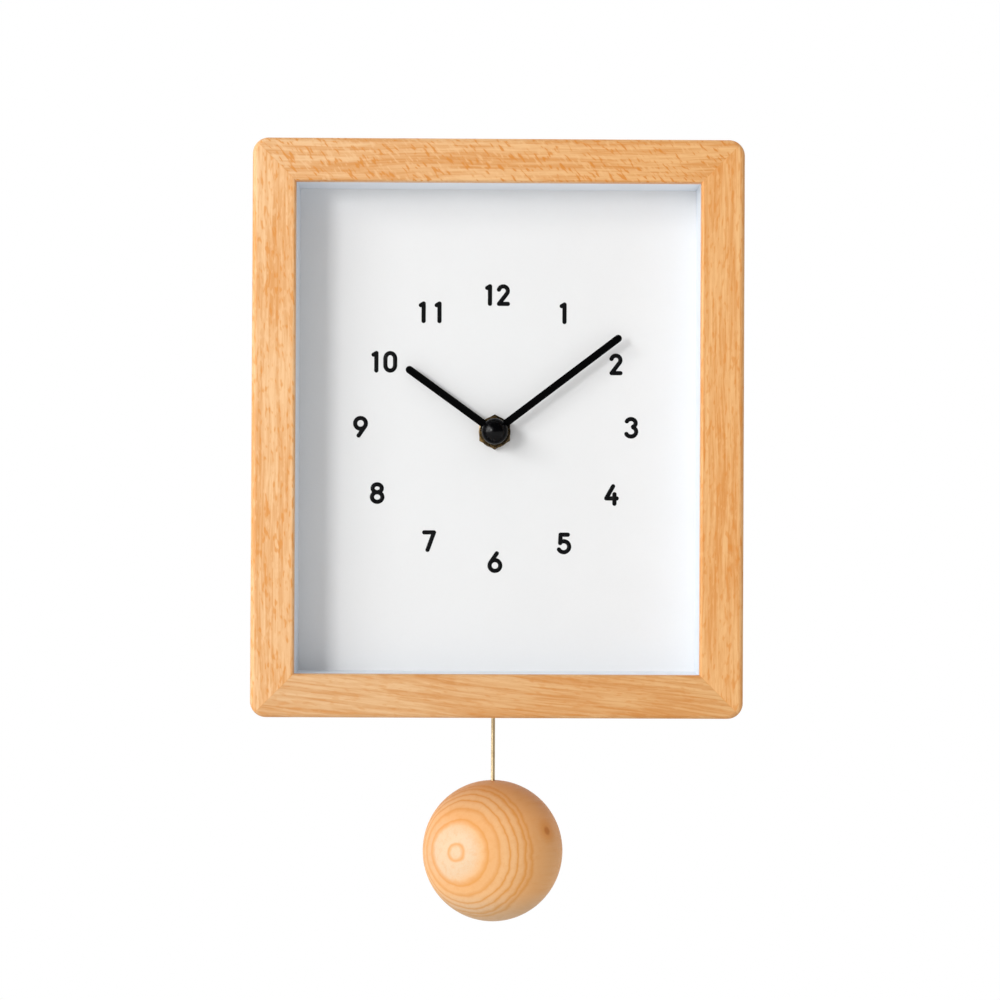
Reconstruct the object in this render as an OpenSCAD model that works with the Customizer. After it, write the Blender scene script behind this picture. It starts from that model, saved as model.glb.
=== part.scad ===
// Wall clock with a wooden box frame, a recessed dial and a ball pendulum.
// X runs to the right, Z up and Y into the wall. The wall is the plane y = 0.
// The origin is where the wall screw's shank sits, at the top of the keyhole slot.
// Every module below is drawn around the dial's middle and moved down to it by on_clock(). The
// movement and what it turns are drawn around the hands' axis and moved there by on_axis().

/* [Frame] */
// Outer width of the frame
frame_w = 170; // [160:1:200]
// Outer height of the frame
frame_h = 200; // [190:1:230]
// Depth of the frame from the wall to its front face
frame_d = 60; // [60:1:70]
// Width of a rail's front face
rail_w = 15; // [13:0.5:20]
// Thickness of the front lip that covers the liner's edge
lip_t = 4; // [3:0.5:6]
// Radius of the frame's outer corners
corner_r = 5.5; // [3:0.5:9]
// Radius of the long outer edges at the front
edge_r = 2; // [1:0.5:2.5]
// Radius of the long inner edges at the front
inner_edge_r = 1; // [0.5:0.25:1.5]
// Thickness of the liner strips and of the dial panel
sheet_t = 2.5; // [2:0.25:3]
// Depth of the dial's face behind the frame's front face
recess_d = 21; // [20.5:0.5:21.5]
// Side of the square battens behind the dial panel
batten_w = 6; // [4:0.5:8]

/* [Hands] */
// Length of the minute hand from its axis to its tip
minute_len = 55.6; // [45:0.2:62]
// Width of the minute hand
minute_w = 2.6; // [2:0.05:4]
// Angle of the minute hand from twelve, clockwise
minute_angle = 52.7; // [0:0.1:359]
// Length of the hour hand from its axis to its tip
hour_len = 38.4; // [30:0.2:44]
// Width of the hour hand
hour_w = 2.7; // [2:0.05:4]
// Angle of the hour hand from twelve, clockwise
hour_angle = 305.8; // [0:0.1:359]
// Thickness of both hands
hand_t = 0.5; // [0.4:0.05:0.6]
// Radius of the ball cap on the hands' axis
cap_r = 4.6; // [4:0.1:5]
// Sideways distance of the hands' axis from the dial's middle
axis_x = -1; // [-1.5:0.1:1.5]
// Height of the hands' axis above the dial's middle
axis_z = -0.7; // [-1.5:0.1:1.5]

/* [Pendulum] */
// Diameter of the wooden ball
ball_d = 50; // [40:1:52]
// Height of the ball's centre below the hands' axis
ball_drop = 149.2; // [145:0.5:165]
// Radius of the pendulum rod
rod_r = 0.7; // [0.6:0.05:0.8]
// Depth of the rod's hole in the ball
rod_seat = 16; // [10:1:20]
// Length of the slot in the bottom rail
slot_len = 17; // [16:1:20]
// Width of the slot in the bottom rail
slot_w = 4.5; // [3.5:0.5:5]

/* [Hanger] */
// Height of the wall screw above the dial's middle
hang_h = 83; // [82:0.5:83]
// Radius of the keyhole's round entry
entry_r = 4.5; // [4:0.25:5]
// Width of the keyhole's slot
key_slot_w = 4; // [3:0.25:4.5]
// Thickness of the hanger plate
plate_t = 1.5; // [1:0.25:2]

/* [Movement] */
// Width of the movement's case
case_w = 56; // [56:0.5:58]
// Wall thickness of the movement's case
wall = 1.2; // [1:0.1:1.3]
// Diameter of the battery
battery_d = 14.5; // [14:0.1:14.5]
// Length of the battery
battery_len = 50.5; // [49.5:0.1:50.5]

/* [Hidden] */
$fn = 64;

wood = "burlywood";
white = "whitesmoke";
black_plastic = "dimgray";
white_plastic = "gainsboro";
brass = "goldenrod";
steel = "silver";

// Overlap that makes a cut run past a face
past = 1;

// Frame, from the outside in
half_w = frame_w / 2;
half_h = frame_h / 2;
open_w = half_w - rail_w;
open_h = half_h - rail_w;
rebate_w = open_w + sheet_t;
rebate_h = open_h + sheet_t;
mitre_reach = rail_w + 5;

// Depths along Y, from the front to the wall
front_y = -frame_d;
lip_y = front_y + lip_t;
dial_y = front_y + recess_d;
dial_back_y = dial_y + sheet_t;
gasket_t = 1;
case_y = dial_back_y + gasket_t;
case_d = 15.8;
cover_y = case_y + case_d;
cover_t = 1.2;
cover_back_y = cover_y + cover_t;
inner_y = case_y + wall;
swing_y = -28;

// Stack on the hands' axis, in front of the dial
washer_t = 0.5;
nut_t = 2;
nut_y = dial_y - washer_t - nut_t;
nut_flats = 10.8;
neck_r = 3.95;
neck_y = nut_y - 0.5;
collar_len = 0.9;
hour_hand_y = neck_y - collar_len - 0.3;
hour_tube_y = hour_hand_y - 0.3;
minute_hand_y = hour_tube_y - 1.5;
arbor_tip_y = minute_hand_y - 3.7;
cap_y = minute_hand_y - 2.8;

// Running fits
play = 0.05;
arbor_r = 1.7;
thread_r = 1.5;
tube_r = 2.5;
pivot_r = 0.4;
staff_r = 0.6;

// Levels of the wheels, each the front face of a piece
hour_wheel_y = inner_y + 0.3;
hour_wheel_t = 0.9;
minute_wheel_y = hour_wheel_y + 1.4;
minute_wheel_t = 0.8;
middle_y = inner_y + 3.1;
middle_t = 1;
middle_back_y = middle_y + middle_t;
centre_wheel_y = middle_back_y + 0.4;
arbor_back_y = centre_wheel_y + 1.2;
third_wheel_y = centre_wheel_y + 1.6;
stator_y = third_wheel_y + 1.3;
seconds_wheel_y = stator_y + 1.2;
step_wheel_y = seconds_wheel_y + 1.4;
train_t = 0.7;
staff_y = middle_back_y + 0.2;
staff_back_y = cover_y - 3;
pivot_len = 1;
bearing_y = staff_back_y + 0.1;
bearing_r = 1.4;

// Teeth and modules of the motion work and of the time train
motion_m = 0.5;
cannon_z = 12;
minute_z = 36;
hour_m = 0.48;
minute_pinion_z = 10;
hour_z = 40;
knob_z = 18;
leaf_z = 8;
step_m = 0.25;
step_z = 48;
seconds_m = 0.45;
seconds_z = 40;
third_m = 0.3;
third_z = 60;
centre_z = 64;
centre_distance = third_m * (leaf_z + third_z) / 2;
centre_m = 2 * centre_distance / (leaf_z + centre_z);

// Shares of the module in a wheel's tooth and a pinion's leaf
wheel_addendum = 1.15;
wheel_dedendum = 1.4;
leaf_dedendum = 1.6;
thin_leaf = 1.05;
thick_leaf = 1.25;

// Places of the staffs around the hands' axis, as [x, z]
function polar(r, a) = [r * cos(a), r * sin(a)];
minute_turn = 180;
knob_turn = -130;
third_turn = 90;
step_turn = -90;
rotor_turn = -160;
minute_at = polar(motion_m * (cannon_z + minute_z) / 2, minute_turn);
knob_at = minute_at + polar(motion_m * (minute_z + knob_z) / 2, knob_turn);
third_at = polar(centre_distance, third_turn);
step_at = polar(seconds_m * (leaf_z + seconds_z) / 2, step_turn);
rotor_at = step_at + polar(step_m * (leaf_z + step_z) / 2, rotor_turn);

// Movement case, as heights above the hands' axis
case_top = 22.5;
case_low = -33;
tongue_w = 32;
tongue_low = -58;
rib_x = 10.8;
battery_x = rib_x + wall + (case_w / 2 - wall - rib_x - wall) / 2;
battery_y = cover_back_y - 1.25 - battery_d / 2;
contact_t = 0.3;
battery_z = case_top - wall - contact_t - battery_len;
pillars = [[-24.8, 19.2], [8.6, 19.2], [-24.8, -18.6], [8.6, -18.6]];
pillar_r = 1.5;

// Pendulum, as heights above the hands' axis
pivot_z = -37;
pin_r = 0.75;
magnet_z = -50;
hook_z = -62.5;
hook_r = 1.3;
lever_t = 2.4;
hook_t = 1.6;
ring_r = 3;
ring_z = hook_z - hook_r + rod_r + 0.15 - ring_r;
magnet_t = 1.4;
coil_gap = 0.6;

// Moves a piece from the dial's middle to its place below the origin
module on_clock(paint) color(paint) translate([0, 0, -hang_h]) children();

// Moves a piece from the hands' axis to its place
module on_axis(paint) color(paint) translate([axis_x, 0, axis_z - hang_h]) children();

// A flat shape in [x, z] as seen from the front, from depth y backwards
module slab(y, t) translate([0, y + t, 0]) rotate([90, 0, 0]) linear_extrude(t) children();

// A revolve around a line along Y, from points [radius, y]
module turned(at = [0, 0]) translate([at.x, 0, at.y]) rotate([-90, 0, 0]) rotate_extrude() children();

// A cylinder along Y from depth y backwards
module staff(y, len, r, at = [0, 0])
    translate([at.x, y, at.y]) rotate([-90, 0, 0]) cylinder(h = len, r = r);

module round_rect(w, h, r) {
    square([w - 2 * r, h], center = true);
    square([w, h - 2 * r], center = true);
    for (x = [-1, 1], y = [-1, 1]) translate([x * (w / 2 - r), y * (h / 2 - r)]) circle(r);
}

// A rectangle from its low and high corners
module span(low, high) translate(low) square(high - low);

// What a rounded corner of radius r leaves of a square corner at the origin
module corner_waste(r) difference() {
    translate([-past, -past]) square(r + past);
    translate([r, r]) circle(r);
}

// Section of a rail in [y, inset from the outer face]
module rail_section() difference() {
    union() {
        translate([front_y, 0]) square([frame_d, rail_w - sheet_t]);
        translate([front_y, 0]) square([lip_t, rail_w]);
    }
    translate([front_y, 0]) corner_waste(edge_r);
    translate([front_y, rail_w]) mirror([0, 1]) corner_waste(inner_edge_r);
}

// A mitred rail along X whose outer face is at height reach, with half of each rounded corner
module rail(len, reach) intersection() {
    union() {
        rail_run(len - 2 * corner_r, reach) rail_section();
        rail_run(len, reach) intersection() {
            rail_section();
            translate([front_y - past, corner_r]) square([frame_d + 2 * past, rail_w]);
        }
        for (side = [-1, 1]) turned([side * (len / 2 - corner_r), reach - corner_r])
            intersection() {
                translate([corner_r, 0]) rotate(90) rail_section();
                translate([0, front_y - past]) square([corner_r, frame_d + 2 * past]);
            }
    }
    slab(front_y - past, frame_d + 2 * past) polygon([
        [-len / 2, reach], [len / 2, reach],
        [len / 2 - mitre_reach, reach - mitre_reach], [-len / 2 + mitre_reach, reach - mitre_reach]
    ]);
}

// Runs a section in [y, inset] along X below height reach
module rail_run(len, reach)
    translate([-len / 2, 0, reach]) rotate([90, 0, 90]) mirror([0, 1]) linear_extrude(len) children();

// Outline of the hanger plate without its holes
entry_drop = 6.4;
plate_top = half_h - 3.5;
plate_low = hang_h - 13;
tongue_half = 8;
ear_half = 15;
ear_low = rebate_h + 0.5;
screw_x = 11;
screw_z = (plate_top + ear_low) / 2;

module plate_outline() {
    translate([0, (plate_top + ear_low) / 2]) round_rect(2 * ear_half, plate_top - ear_low, 2);
    translate([0, (plate_top + plate_low) / 2]) round_rect(2 * tongue_half, plate_top - plate_low, 3);
}

// Countersunk wood screw with its head flush with the wall plane
screw_r = 1.25;
screw_head_r = 2.6;
screw_len = 13;
module screw_body(at) turned(at) polygon([
    [0, 0], [screw_head_r, 0], [screw_r, -1.4], [screw_r, -screw_len + 2.5], [0, -screw_len]
]);

module frame_top_rail() on_clock(wood) difference() {
    rail(frame_w, half_h);
    slab(-plate_t, plate_t + past) plate_outline();
    for (side = [-1, 1]) screw_body([side * screw_x, screw_z]);
}

module frame_bottom_rail() on_clock(wood) difference() {
    mirror([0, 0, 1]) rail(frame_w, half_h);
    translate([axis_x, swing_y, -half_h - past]) linear_extrude(rail_w + 2 * past) {
        square([slot_len - slot_w, slot_w], center = true);
        for (side = [-1, 1]) translate([side * (slot_len - slot_w) / 2, 0]) circle(slot_w / 2);
    }
}

module frame_left_rail() on_clock(wood) rotate([0, -90, 0]) rail(frame_h, half_w);

module frame_right_rail() on_clock(wood) rotate([0, 90, 0]) rail(frame_h, half_w);

// White strips that line the recess between the front lip and the dial
module liner_strip(low, high) slab(lip_y, dial_y - lip_y) span(low, high);

module liner_top() on_clock(white) liner_strip([-rebate_w, open_h], [rebate_w, rebate_h]);

module liner_bottom() on_clock(white) liner_strip([-rebate_w, -rebate_h], [rebate_w, -open_h]);

module liner_left() on_clock(white) liner_strip([-rebate_w, -open_h], [-open_w, open_h]);

module liner_right() on_clock(white) liner_strip([open_w, -open_h], [rebate_w, open_h]);

module dial_panel() on_clock(white) slab(dial_y, sheet_t) difference() {
    square([2 * rebate_w, 2 * rebate_h], center = true);
    translate([axis_x, axis_z]) circle(neck_r + 0.25);
}

// Wooden battens that hold the dial panel against the liner
module batten(low, high) slab(dial_back_y, batten_w) span(low, high);

module batten_top() on_clock(wood)
    batten([-rebate_w, rebate_h - batten_w], [rebate_w, rebate_h]);

module batten_bottom() on_clock(wood)
    batten([-rebate_w, -rebate_h], [rebate_w, -rebate_h + batten_w]);

module batten_left() on_clock(wood)
    batten([-rebate_w, -rebate_h + batten_w], [-rebate_w + batten_w, rebate_h - batten_w]);

module batten_right() on_clock(wood)
    batten([rebate_w - batten_w, -rebate_h + batten_w], [rebate_w, rebate_h - batten_w]);

module hanger_plate() on_clock(steel) difference() {
    slab(-plate_t, plate_t) difference() {
        plate_outline();
        translate([0, hang_h - entry_drop]) circle(entry_r);
        span([-key_slot_w / 2, hang_h - entry_drop], [key_slot_w / 2, hang_h]);
        translate([0, hang_h]) circle(key_slot_w / 2);
    }
    for (side = [-1, 1]) screw_body([side * screw_x, screw_z]);
}

module hanger_screws() on_clock(steel)
    for (side = [-1, 1]) screw_body([side * screw_x, screw_z]);

// Outline of the movement: a box for the train and battery over a narrower pendulum box
module case_outline() {
    translate([0, (case_top + case_low) / 2]) round_rect(case_w, case_top - case_low, 2);
    translate([0, (case_low + tongue_low) / 2 + 2]) round_rect(tongue_w, case_low - tongue_low + 4, 2);
}

module train_room() span([-case_w / 2 + wall, case_low + wall], [rib_x, case_top - wall]);

module battery_room()
    span([rib_x + wall, case_low + wall], [case_w / 2 - wall, case_top - wall]);

module swing_room()
    span([-tongue_w / 2 + wall, tongue_low + wall], [tongue_w / 2 - wall, case_low]);

// Window in a side wall for a snap hook of the cover
snap_w = 5;
snap_t = 0.8;
snap_places = [10, -22];
module snap_windows() for (z = snap_places)
    translate([-case_w / 2 - past, cover_y - 3, z - snap_w / 2]) cube([wall + 2 * past, 1.6, snap_w]);

module movement_case() on_axis(black_plastic) difference() {
    union() {
        difference() {
            slab(case_y, case_d) case_outline();
            slab(inner_y, case_d) {
                train_room();
                battery_room();
                swing_room();
            }
        }
        turned() polygon([
            [0, inner_y], [0, neck_y], [neck_r - 0.3, neck_y], [neck_r, neck_y + 0.3], [neck_r, inner_y]
        ]);
        for (at = pillars) staff(inner_y, middle_y - inner_y, pillar_r, at);
        staff(inner_y, 1.4, 1.6, [0, pivot_z]);
        staff(inner_y, 1.3, 2.2, knob_at);
        staff(inner_y, middle_y - inner_y, 0.75, minute_at);
    }
    staff(neck_y - past, inner_y - neck_y + 2 * past, tube_r + play);
    staff(case_y + 0.4, 3, pin_r, [0, pivot_z]);
    staff(inner_y, 3, 0.8 + play, knob_at);
    snap_windows();
    // Way out for the lever at the bottom of the pendulum box
    translate([-7, swing_y - 2.5, tongue_low - past]) cube([14, 5, wall + 2 * past]);
}

module movement_cover() on_axis(black_plastic) difference() {
    union() {
        slab(cover_y, cover_t) case_outline();
        // Rim that drops inside the walls around the train
        slab(cover_y - 1, 1) difference() {
            span([-case_w / 2 + wall + play, case_low + wall + play], [rib_x - play, case_top - wall - play]);
            span([-case_w / 2 + 2 * wall, case_low + 2 * wall], [rib_x - wall, case_top - 2 * wall]);
        }
        for (z = snap_places) translate([-case_w / 2 + wall + play, cover_y - 3.2, z - snap_w / 2 + 0.4])
            cube([snap_t, 3.2, snap_w - 0.8]);
        for (at = pillars) staff(middle_back_y, cover_y - middle_back_y, 1.2, at);
        for (at = [[0, 0], third_at, step_at, rotor_at])
            staff(bearing_y, cover_y - bearing_y, bearing_r, at);
        staff(cover_y - 1.5, 1.5, 2.4, knob_at);
        staff(cover_y - 1.4, 1.4, 1.6, [0, pivot_z]);
        // Dished seat around the setting knob
        staff(cover_back_y, 0.6, 7, knob_at);
    }
    for (at = [[0, 0], third_at, step_at, rotor_at])
        staff(bearing_y - past, pivot_len + 0.3 + past, pivot_r + play, at);
    staff(cover_y - 2 - past, cover_t + 3.6 + past, 1.2 + play, knob_at);
    staff(cover_back_y, past, 6.2, knob_at);
    staff(cover_y - 2, 2.4, pin_r, [0, pivot_z]);
    // Open bay through which the battery is changed
    slab(cover_y - past, cover_t + 2 * past)
        span([rib_x + wall + 0.1, case_low + wall + 1], [case_w / 2 - wall - 0.1, case_top - wall - 1]);
}

module middle_plate() on_axis(white_plastic) slab(middle_y, middle_t) difference() {
    span([-case_w / 2 + wall + 0.3, -21], [rib_x - 0.3, case_top - wall - 0.3]);
    circle(arbor_r + play);
    translate(minute_at) circle(0.75 + play);
    translate(knob_at) circle(1.2 + play);
    for (at = [third_at, step_at, rotor_at]) translate(at) circle(pivot_r + play);
    // Lightening slots at the top corners
    for (x = [-17, 5.5]) translate([x, 12]) round_rect(3, 8, 1.4);
}

module washer(y, t, outer, inner) slab(y, t) difference() {
    circle(outer);
    circle(inner);
}

module rubber_washer() on_axis("black") washer(dial_back_y, gasket_t, 9, neck_r + 0.1);

module brass_washer() on_axis(brass) washer(dial_y - washer_t, washer_t, 5.6, neck_r + 0.15);

// Hexagon with its corners up and down, chamfered at the front
module hex_nut() on_axis(brass) difference() {
    corner = nut_flats / sqrt(3);
    intersection() {
        slab(nut_y, nut_t) rotate(30) circle(corner, $fn = 6);
        turned() polygon([
            [0, nut_y], [nut_flats / 2 - 0.1, nut_y], [corner + 0.1, nut_y + 0.6],
            [corner + 0.1, nut_y + nut_t], [0, nut_y + nut_t]
        ]);
    }
    staff(nut_y - past, nut_t + 2 * past, neck_r + 0.02);
}

// Flank of a wheel's tooth as [radius, half angle]: radial inside the pitch circle and an
// epicycloid outside it, rolled by a circle half as large as the mating pinion's pitch circle
function epicycloid_turn(r, roll, reach) = let (
    t = acos((pow(r + roll, 2) + roll * roll - reach * reach) / (2 * (r + roll) * roll)) * roll / r,
    x = (r + roll) * cos(t) - roll * cos(t * (r + roll) / roll),
    y = (r + roll) * sin(t) - roll * sin(t * (r + roll) / roll)
) atan2(y, x);

function wheel_flank(z, m, leaves) = let (r = z * m / 2, half = 90 / z) [
    [r - wheel_dedendum * m, half],
    [r, half],
    for (share = [0.55, 1]) let (reach = r + share * wheel_addendum * m)
        [reach, half - epicycloid_turn(r, leaves * m / 4, reach)]
];

// Flank of a pinion's leaf: radial, with a round crest
function leaf_flank(z, m) = let (
    r = z * m / 2,
    thick = (z > 10 ? thick_leaf : thin_leaf) * m / 2,
    half = asin(thick / r)
) [
    [r - leaf_dedendum * m, half],
    [r, half],
    [r + 0.75 * thick, asin(0.66 * thick / r)],
    [r + thick, asin(0.15 * thick / r)]
];

function tooth_points(flank, z) = [
    for (tooth = [0:z - 1]) let (middle = tooth * 360 / z) each concat(
        [for (p = flank) polar(p[0], middle - p[1])],
        [for (i = [len(flank) - 1:-1:0]) polar(flank[i][0], middle + flank[i][1])]
    )
];

// Turn of a gear that meshes with one of z_a teeth turned by phase, in the direction toward
function mate_phase(phase, z_a, toward, z_b) =
    toward + 180 - (phase - toward) * z_a / z_b + 180 / z_b;

module wheel(z, m, leaves, phase, y, t, at = [0, 0])
    slab(y, t) translate(at) rotate(phase) polygon(tooth_points(wheel_flank(z, m, leaves), z));

module pinion(z, m, phase, y, t, at = [0, 0])
    slab(y, t) translate(at) rotate(phase) polygon(tooth_points(leaf_flank(z, m), z));

// Staff of a train wheel, with a thin pivot at each end
module train_staff(at, from_y) {
    staff(from_y, staff_back_y - from_y, staff_r, at);
    staff(from_y - pivot_len, staff_back_y - from_y + 2 * pivot_len, pivot_r, at);
}

// Motion work, which turns the hands
minute_phase = mate_phase(0, cannon_z, minute_turn, minute_z);
minute_pinion_phase = mate_phase(0, hour_z, minute_turn, minute_pinion_z);
knob_phase = mate_phase(minute_phase, minute_z, knob_turn, knob_z);

module minute_arbor() on_axis(steel) difference() {
    union() {
        staff(minute_hand_y + hand_t, arbor_back_y - minute_hand_y - hand_t, arbor_r);
        staff(arbor_tip_y, minute_hand_y - arbor_tip_y + 1, thread_r);
        pinion(cannon_z, motion_m, 0, minute_wheel_y - 0.2, minute_wheel_t + 0.4);
    }
    staff(arbor_back_y - 1.5, 1.5 + past, pivot_r + play);
}

// A straight hand with a round tip, pointing up
module hand_outline(len, w, hub_r) {
    translate([-w / 2, 0]) square([w, len - w / 2]);
    translate([0, len - w / 2]) circle(w / 2);
    circle(hub_r);
}

module minute_hand() on_axis("black") slab(minute_hand_y, hand_t) difference() {
    rotate(-minute_angle) hand_outline(minute_len, minute_w, 3.4);
    circle(thread_r);
}

// Ball cap with a flat back and a blind hole for the arbor's thread
module hand_cap() on_axis("black") turned() difference() {
    translate([0, cap_y]) circle(cap_r);
    translate([-cap_r, cap_y - cap_r]) square([cap_r, 2 * cap_r]);
    translate([0, minute_hand_y]) square(cap_r);
    translate([0, arbor_tip_y - 0.4]) square([thread_r, cap_r]);
}

module hour_wheel() on_axis(white_plastic) difference() {
    union() {
        wheel(hour_z, hour_m, minute_pinion_z, 0, hour_wheel_y, hour_wheel_t);
        staff(hour_tube_y, hour_wheel_y - hour_tube_y + hour_wheel_t, tube_r);
    }
    staff(hour_tube_y - past, hour_wheel_y - hour_tube_y + hour_wheel_t + 2 * past, arbor_r + play);
}

module hour_hand() on_axis("black") difference() {
    union() {
        slab(hour_hand_y, hand_t) rotate(-hour_angle) hand_outline(hour_len, hour_w, 4.2);
        staff(hour_hand_y, collar_len, 3.5);
    }
    staff(hour_hand_y - past, collar_len + 2 * past, tube_r);
}

module minute_wheel() on_axis(white_plastic) difference() {
    union() {
        wheel(minute_z, motion_m, cannon_z, minute_phase, minute_wheel_y, minute_wheel_t, minute_at);
        pinion(minute_pinion_z, hour_m, minute_pinion_phase, hour_wheel_y - 0.1,
            minute_wheel_y - hour_wheel_y + 0.2, minute_at);
    }
    staff(inner_y, middle_y - inner_y, 0.75 + play, minute_at);
}

// Pinion, shaft and ribbed knob in one piece
knob_r = 5.5;
knob_y = cover_back_y + 0.3;
knob_t = 3.4;
module setting_knob() on_axis(black_plastic) {
    pinion(knob_z, motion_m, knob_phase, minute_wheel_y - 0.1, minute_wheel_t + 0.2, knob_at);
    staff(inner_y + 0.2, 2.4, 0.8, knob_at);
    staff(minute_wheel_y, knob_y - minute_wheel_y + 1, 1.2, knob_at);
    difference() {
        turned(knob_at) polygon([
            [0, knob_y], [knob_r, knob_y], [knob_r, knob_y + knob_t - 0.6],
            [knob_r - 0.6, knob_y + knob_t], [0, knob_y + knob_t]
        ]);
        for (turn = [0:15:345])
            staff(knob_y - past, knob_t + 2 * past, 0.4, knob_at + polar(knob_r + 0.12, turn));
        staff(knob_y + knob_t - 0.5, 1, 3.6, knob_at);
    }
}

// Time train, driven by the stepping motor
third_phase = mate_phase(0, leaf_z, third_turn, third_z);
centre_phase = mate_phase(0, leaf_z, third_turn + 180, centre_z);
step_leaf_phase = mate_phase(0, seconds_z, step_turn, leaf_z);
rotor_phase = mate_phase(0, step_z, rotor_turn, leaf_z);

module centre_wheel() on_axis(white_plastic) difference() {
    union() {
        wheel(centre_z, centre_m, leaf_z, centre_phase, centre_wheel_y, train_t);
        staff(centre_wheel_y, 1.1, 3);
    }
    staff(centre_wheel_y - past, 1.1 + 2 * past, arbor_r + play);
}

module third_wheel() on_axis(white_plastic) {
    wheel(third_z, third_m, leaf_z, third_phase, third_wheel_y, train_t, third_at);
    pinion(leaf_z, centre_m, 0, staff_y, third_wheel_y - staff_y, third_at);
    train_staff(third_at, staff_y);
}

module seconds_wheel() on_axis(white_plastic) {
    wheel(seconds_z, seconds_m, leaf_z, 0, seconds_wheel_y, train_t);
    pinion(leaf_z, third_m, 0, arbor_back_y + 0.2, 1.6);
    train_staff([0, 0], arbor_back_y + 0.2);
}

module intermediate_wheel() on_axis(white_plastic) {
    wheel(step_z, step_m, leaf_z, 0, step_wheel_y, train_t, step_at);
    pinion(leaf_z, seconds_m, step_leaf_phase, seconds_wheel_y - 0.2, step_wheel_y - seconds_wheel_y + 0.2,
        step_at);
    train_staff(step_at, staff_y);
}

magnet_r = 2.4;
module rotor() on_axis(steel) {
    staff(stator_y - 0.7, 2.1, magnet_r, rotor_at);
    pinion(leaf_z, step_m, rotor_phase, step_wheel_y - 0.2, train_t + 0.4, rotor_at);
    train_staff(rotor_at, staff_y);
}

// Stepping motor: a thin plate round the rotor, whose two legs hold the coil's core
stator_t = 0.7;
leg_w = 3;
leg_x = 8.2;
leg_low = -28.5;
coil_z = -24;
coil_r = 3.1;
core_t = 1;
coil_y = stator_y + stator_t + core_t / 2;
module stator() on_axis(steel) {
    slab(stator_y, stator_t) translate([rotor_at.x, 0]) difference() {
        union() {
            span([-leg_x - leg_w / 2, leg_low], [-leg_x + leg_w / 2, rotor_at.y]);
            span([leg_x - leg_w / 2, leg_low], [leg_x + leg_w / 2, rotor_at.y]);
            span([-leg_x, rotor_at.y - 4.6], [leg_x, rotor_at.y + 2.4]);
            translate([0, rotor_at.y]) circle(4.6);
        }
        translate([0, rotor_at.y]) circle(magnet_r + 0.5);
        // The staff of the stepping wheel passes through the plate
        translate([step_at.x - rotor_at.x, step_at.y]) circle(1.6);
    }
    // Feet that stand on the case's front wall
    for (side = [-1, 1])
        staff(inner_y, stator_y - inner_y, 1.3, [rotor_at.x + side * leg_x, leg_low + 2]);
}

module motor_coil() on_axis("sienna") translate([rotor_at.x, coil_y, coil_z]) {
    half = leg_x - leg_w / 2 - 0.2;
    rotate([0, 90, 0]) {
        cylinder(h = 2 * half - 1, r = coil_r, center = true);
        for (side = [-1, 1]) translate([0, 0, side * (half - 0.3)])
            cylinder(h = 0.6, r = coil_r + 0.4, center = true);
    }
    // Core bar that lies across both legs
    translate([-leg_x - leg_w / 2, -core_t / 2, -leg_w / 2]) cube([2 * leg_x + leg_w, core_t, leg_w]);
}

board_y = cover_y - 3.2;
board_low = [-case_w / 2 + wall + 1.6, -30.2];
board_high = [-16.6, -20.4];
module circuit_board() on_axis("darkgreen") {
    slab(board_y, 1) span(board_low, board_high);
    // Moulded drop over the chip
    translate([-20.4, board_y, -24]) rotate([90, 0, 0]) intersection() {
        translate([0, 0, -2.2]) sphere(3.4);
        cylinder(h = 2, r = 3);
    }
}

crystal_r = 1;
module quartz_crystal() on_axis(steel)
    translate([-24.6, board_y - crystal_r, -28.8]) rotate([0, 90, 0]) {
        cylinder(h = 6, r = crystal_r);
        for (side = [-1, 1]) translate([side * 0.4, 0, 6]) cylinder(h = 1.6, r = 0.15);
    }

// Dry cell standing at the side of the train, with its cap at the top
module battery() on_axis("darkslategray") translate([battery_x, battery_y, battery_z]) rotate_extrude() polygon([
    [0, 0], [4.6, 0], [4.9, 0.4], [battery_d / 2 - 0.5, 0.4], [battery_d / 2, 0.9],
    [battery_d / 2, battery_len - 2.1], [battery_d / 2 - 0.6, battery_len - 1.5],
    [2.75, battery_len - 1.2], [2.75, battery_len - 0.2], [2.5, battery_len], [0, battery_len]
]);

contact_w = 8;
module contact_plus() on_axis(steel) {
    top = case_top - wall;
    // Flat tab on the battery's cap and a tail that runs to the rib
    translate([battery_x - contact_w / 2, battery_y - contact_w / 2, top - contact_t])
        cube([contact_w, contact_w, contact_t]);
    translate([rib_x + wall, battery_y - contact_w / 2, top - contact_t])
        cube([battery_x - rib_x - wall, 3, contact_t]);
}

module contact_minus() on_axis(steel) {
    low = case_low + wall;
    // Leaf spring: a flat foot and two sloping leaves that press on the battery's base
    translate([battery_x - contact_w / 2, battery_y - contact_w / 2, low])
        cube([contact_w, contact_w, contact_t]);
    translate([battery_x, battery_y + contact_w / 2, 0]) rotate([90, 0, 0]) linear_extrude(contact_w)
        polygon([
            [-4, low + contact_t], [-3.4, low + contact_t], [0, battery_z - contact_t],
            [3.4, low + contact_t], [4, low + contact_t], [0.5, battery_z], [-0.5, battery_z]
        ]);
}

// Drive coil of the pendulum, wound on a flanged bobbin behind the swinging magnet
drive_y = swing_y + lever_t / 2 + magnet_t + coil_gap;
module drive_coil() on_axis("sienna") difference() {
    turned([0, magnet_z]) polygon([
        [0, drive_y], [6.8, drive_y], [6.8, drive_y + 0.5], [6.2, drive_y + 0.5],
        [6.2, cover_y - 0.8], [6.8, cover_y - 0.8], [6.8, cover_y], [0, cover_y]
    ]);
    staff(drive_y - past, cover_y - drive_y + 2 * past, 1.5, [0, magnet_z]);
}

module pivot_pin() on_axis(steel) staff(case_y + 0.4, cover_y + 0.4 - case_y - 0.4, pin_r, [0, pivot_z]);

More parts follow.
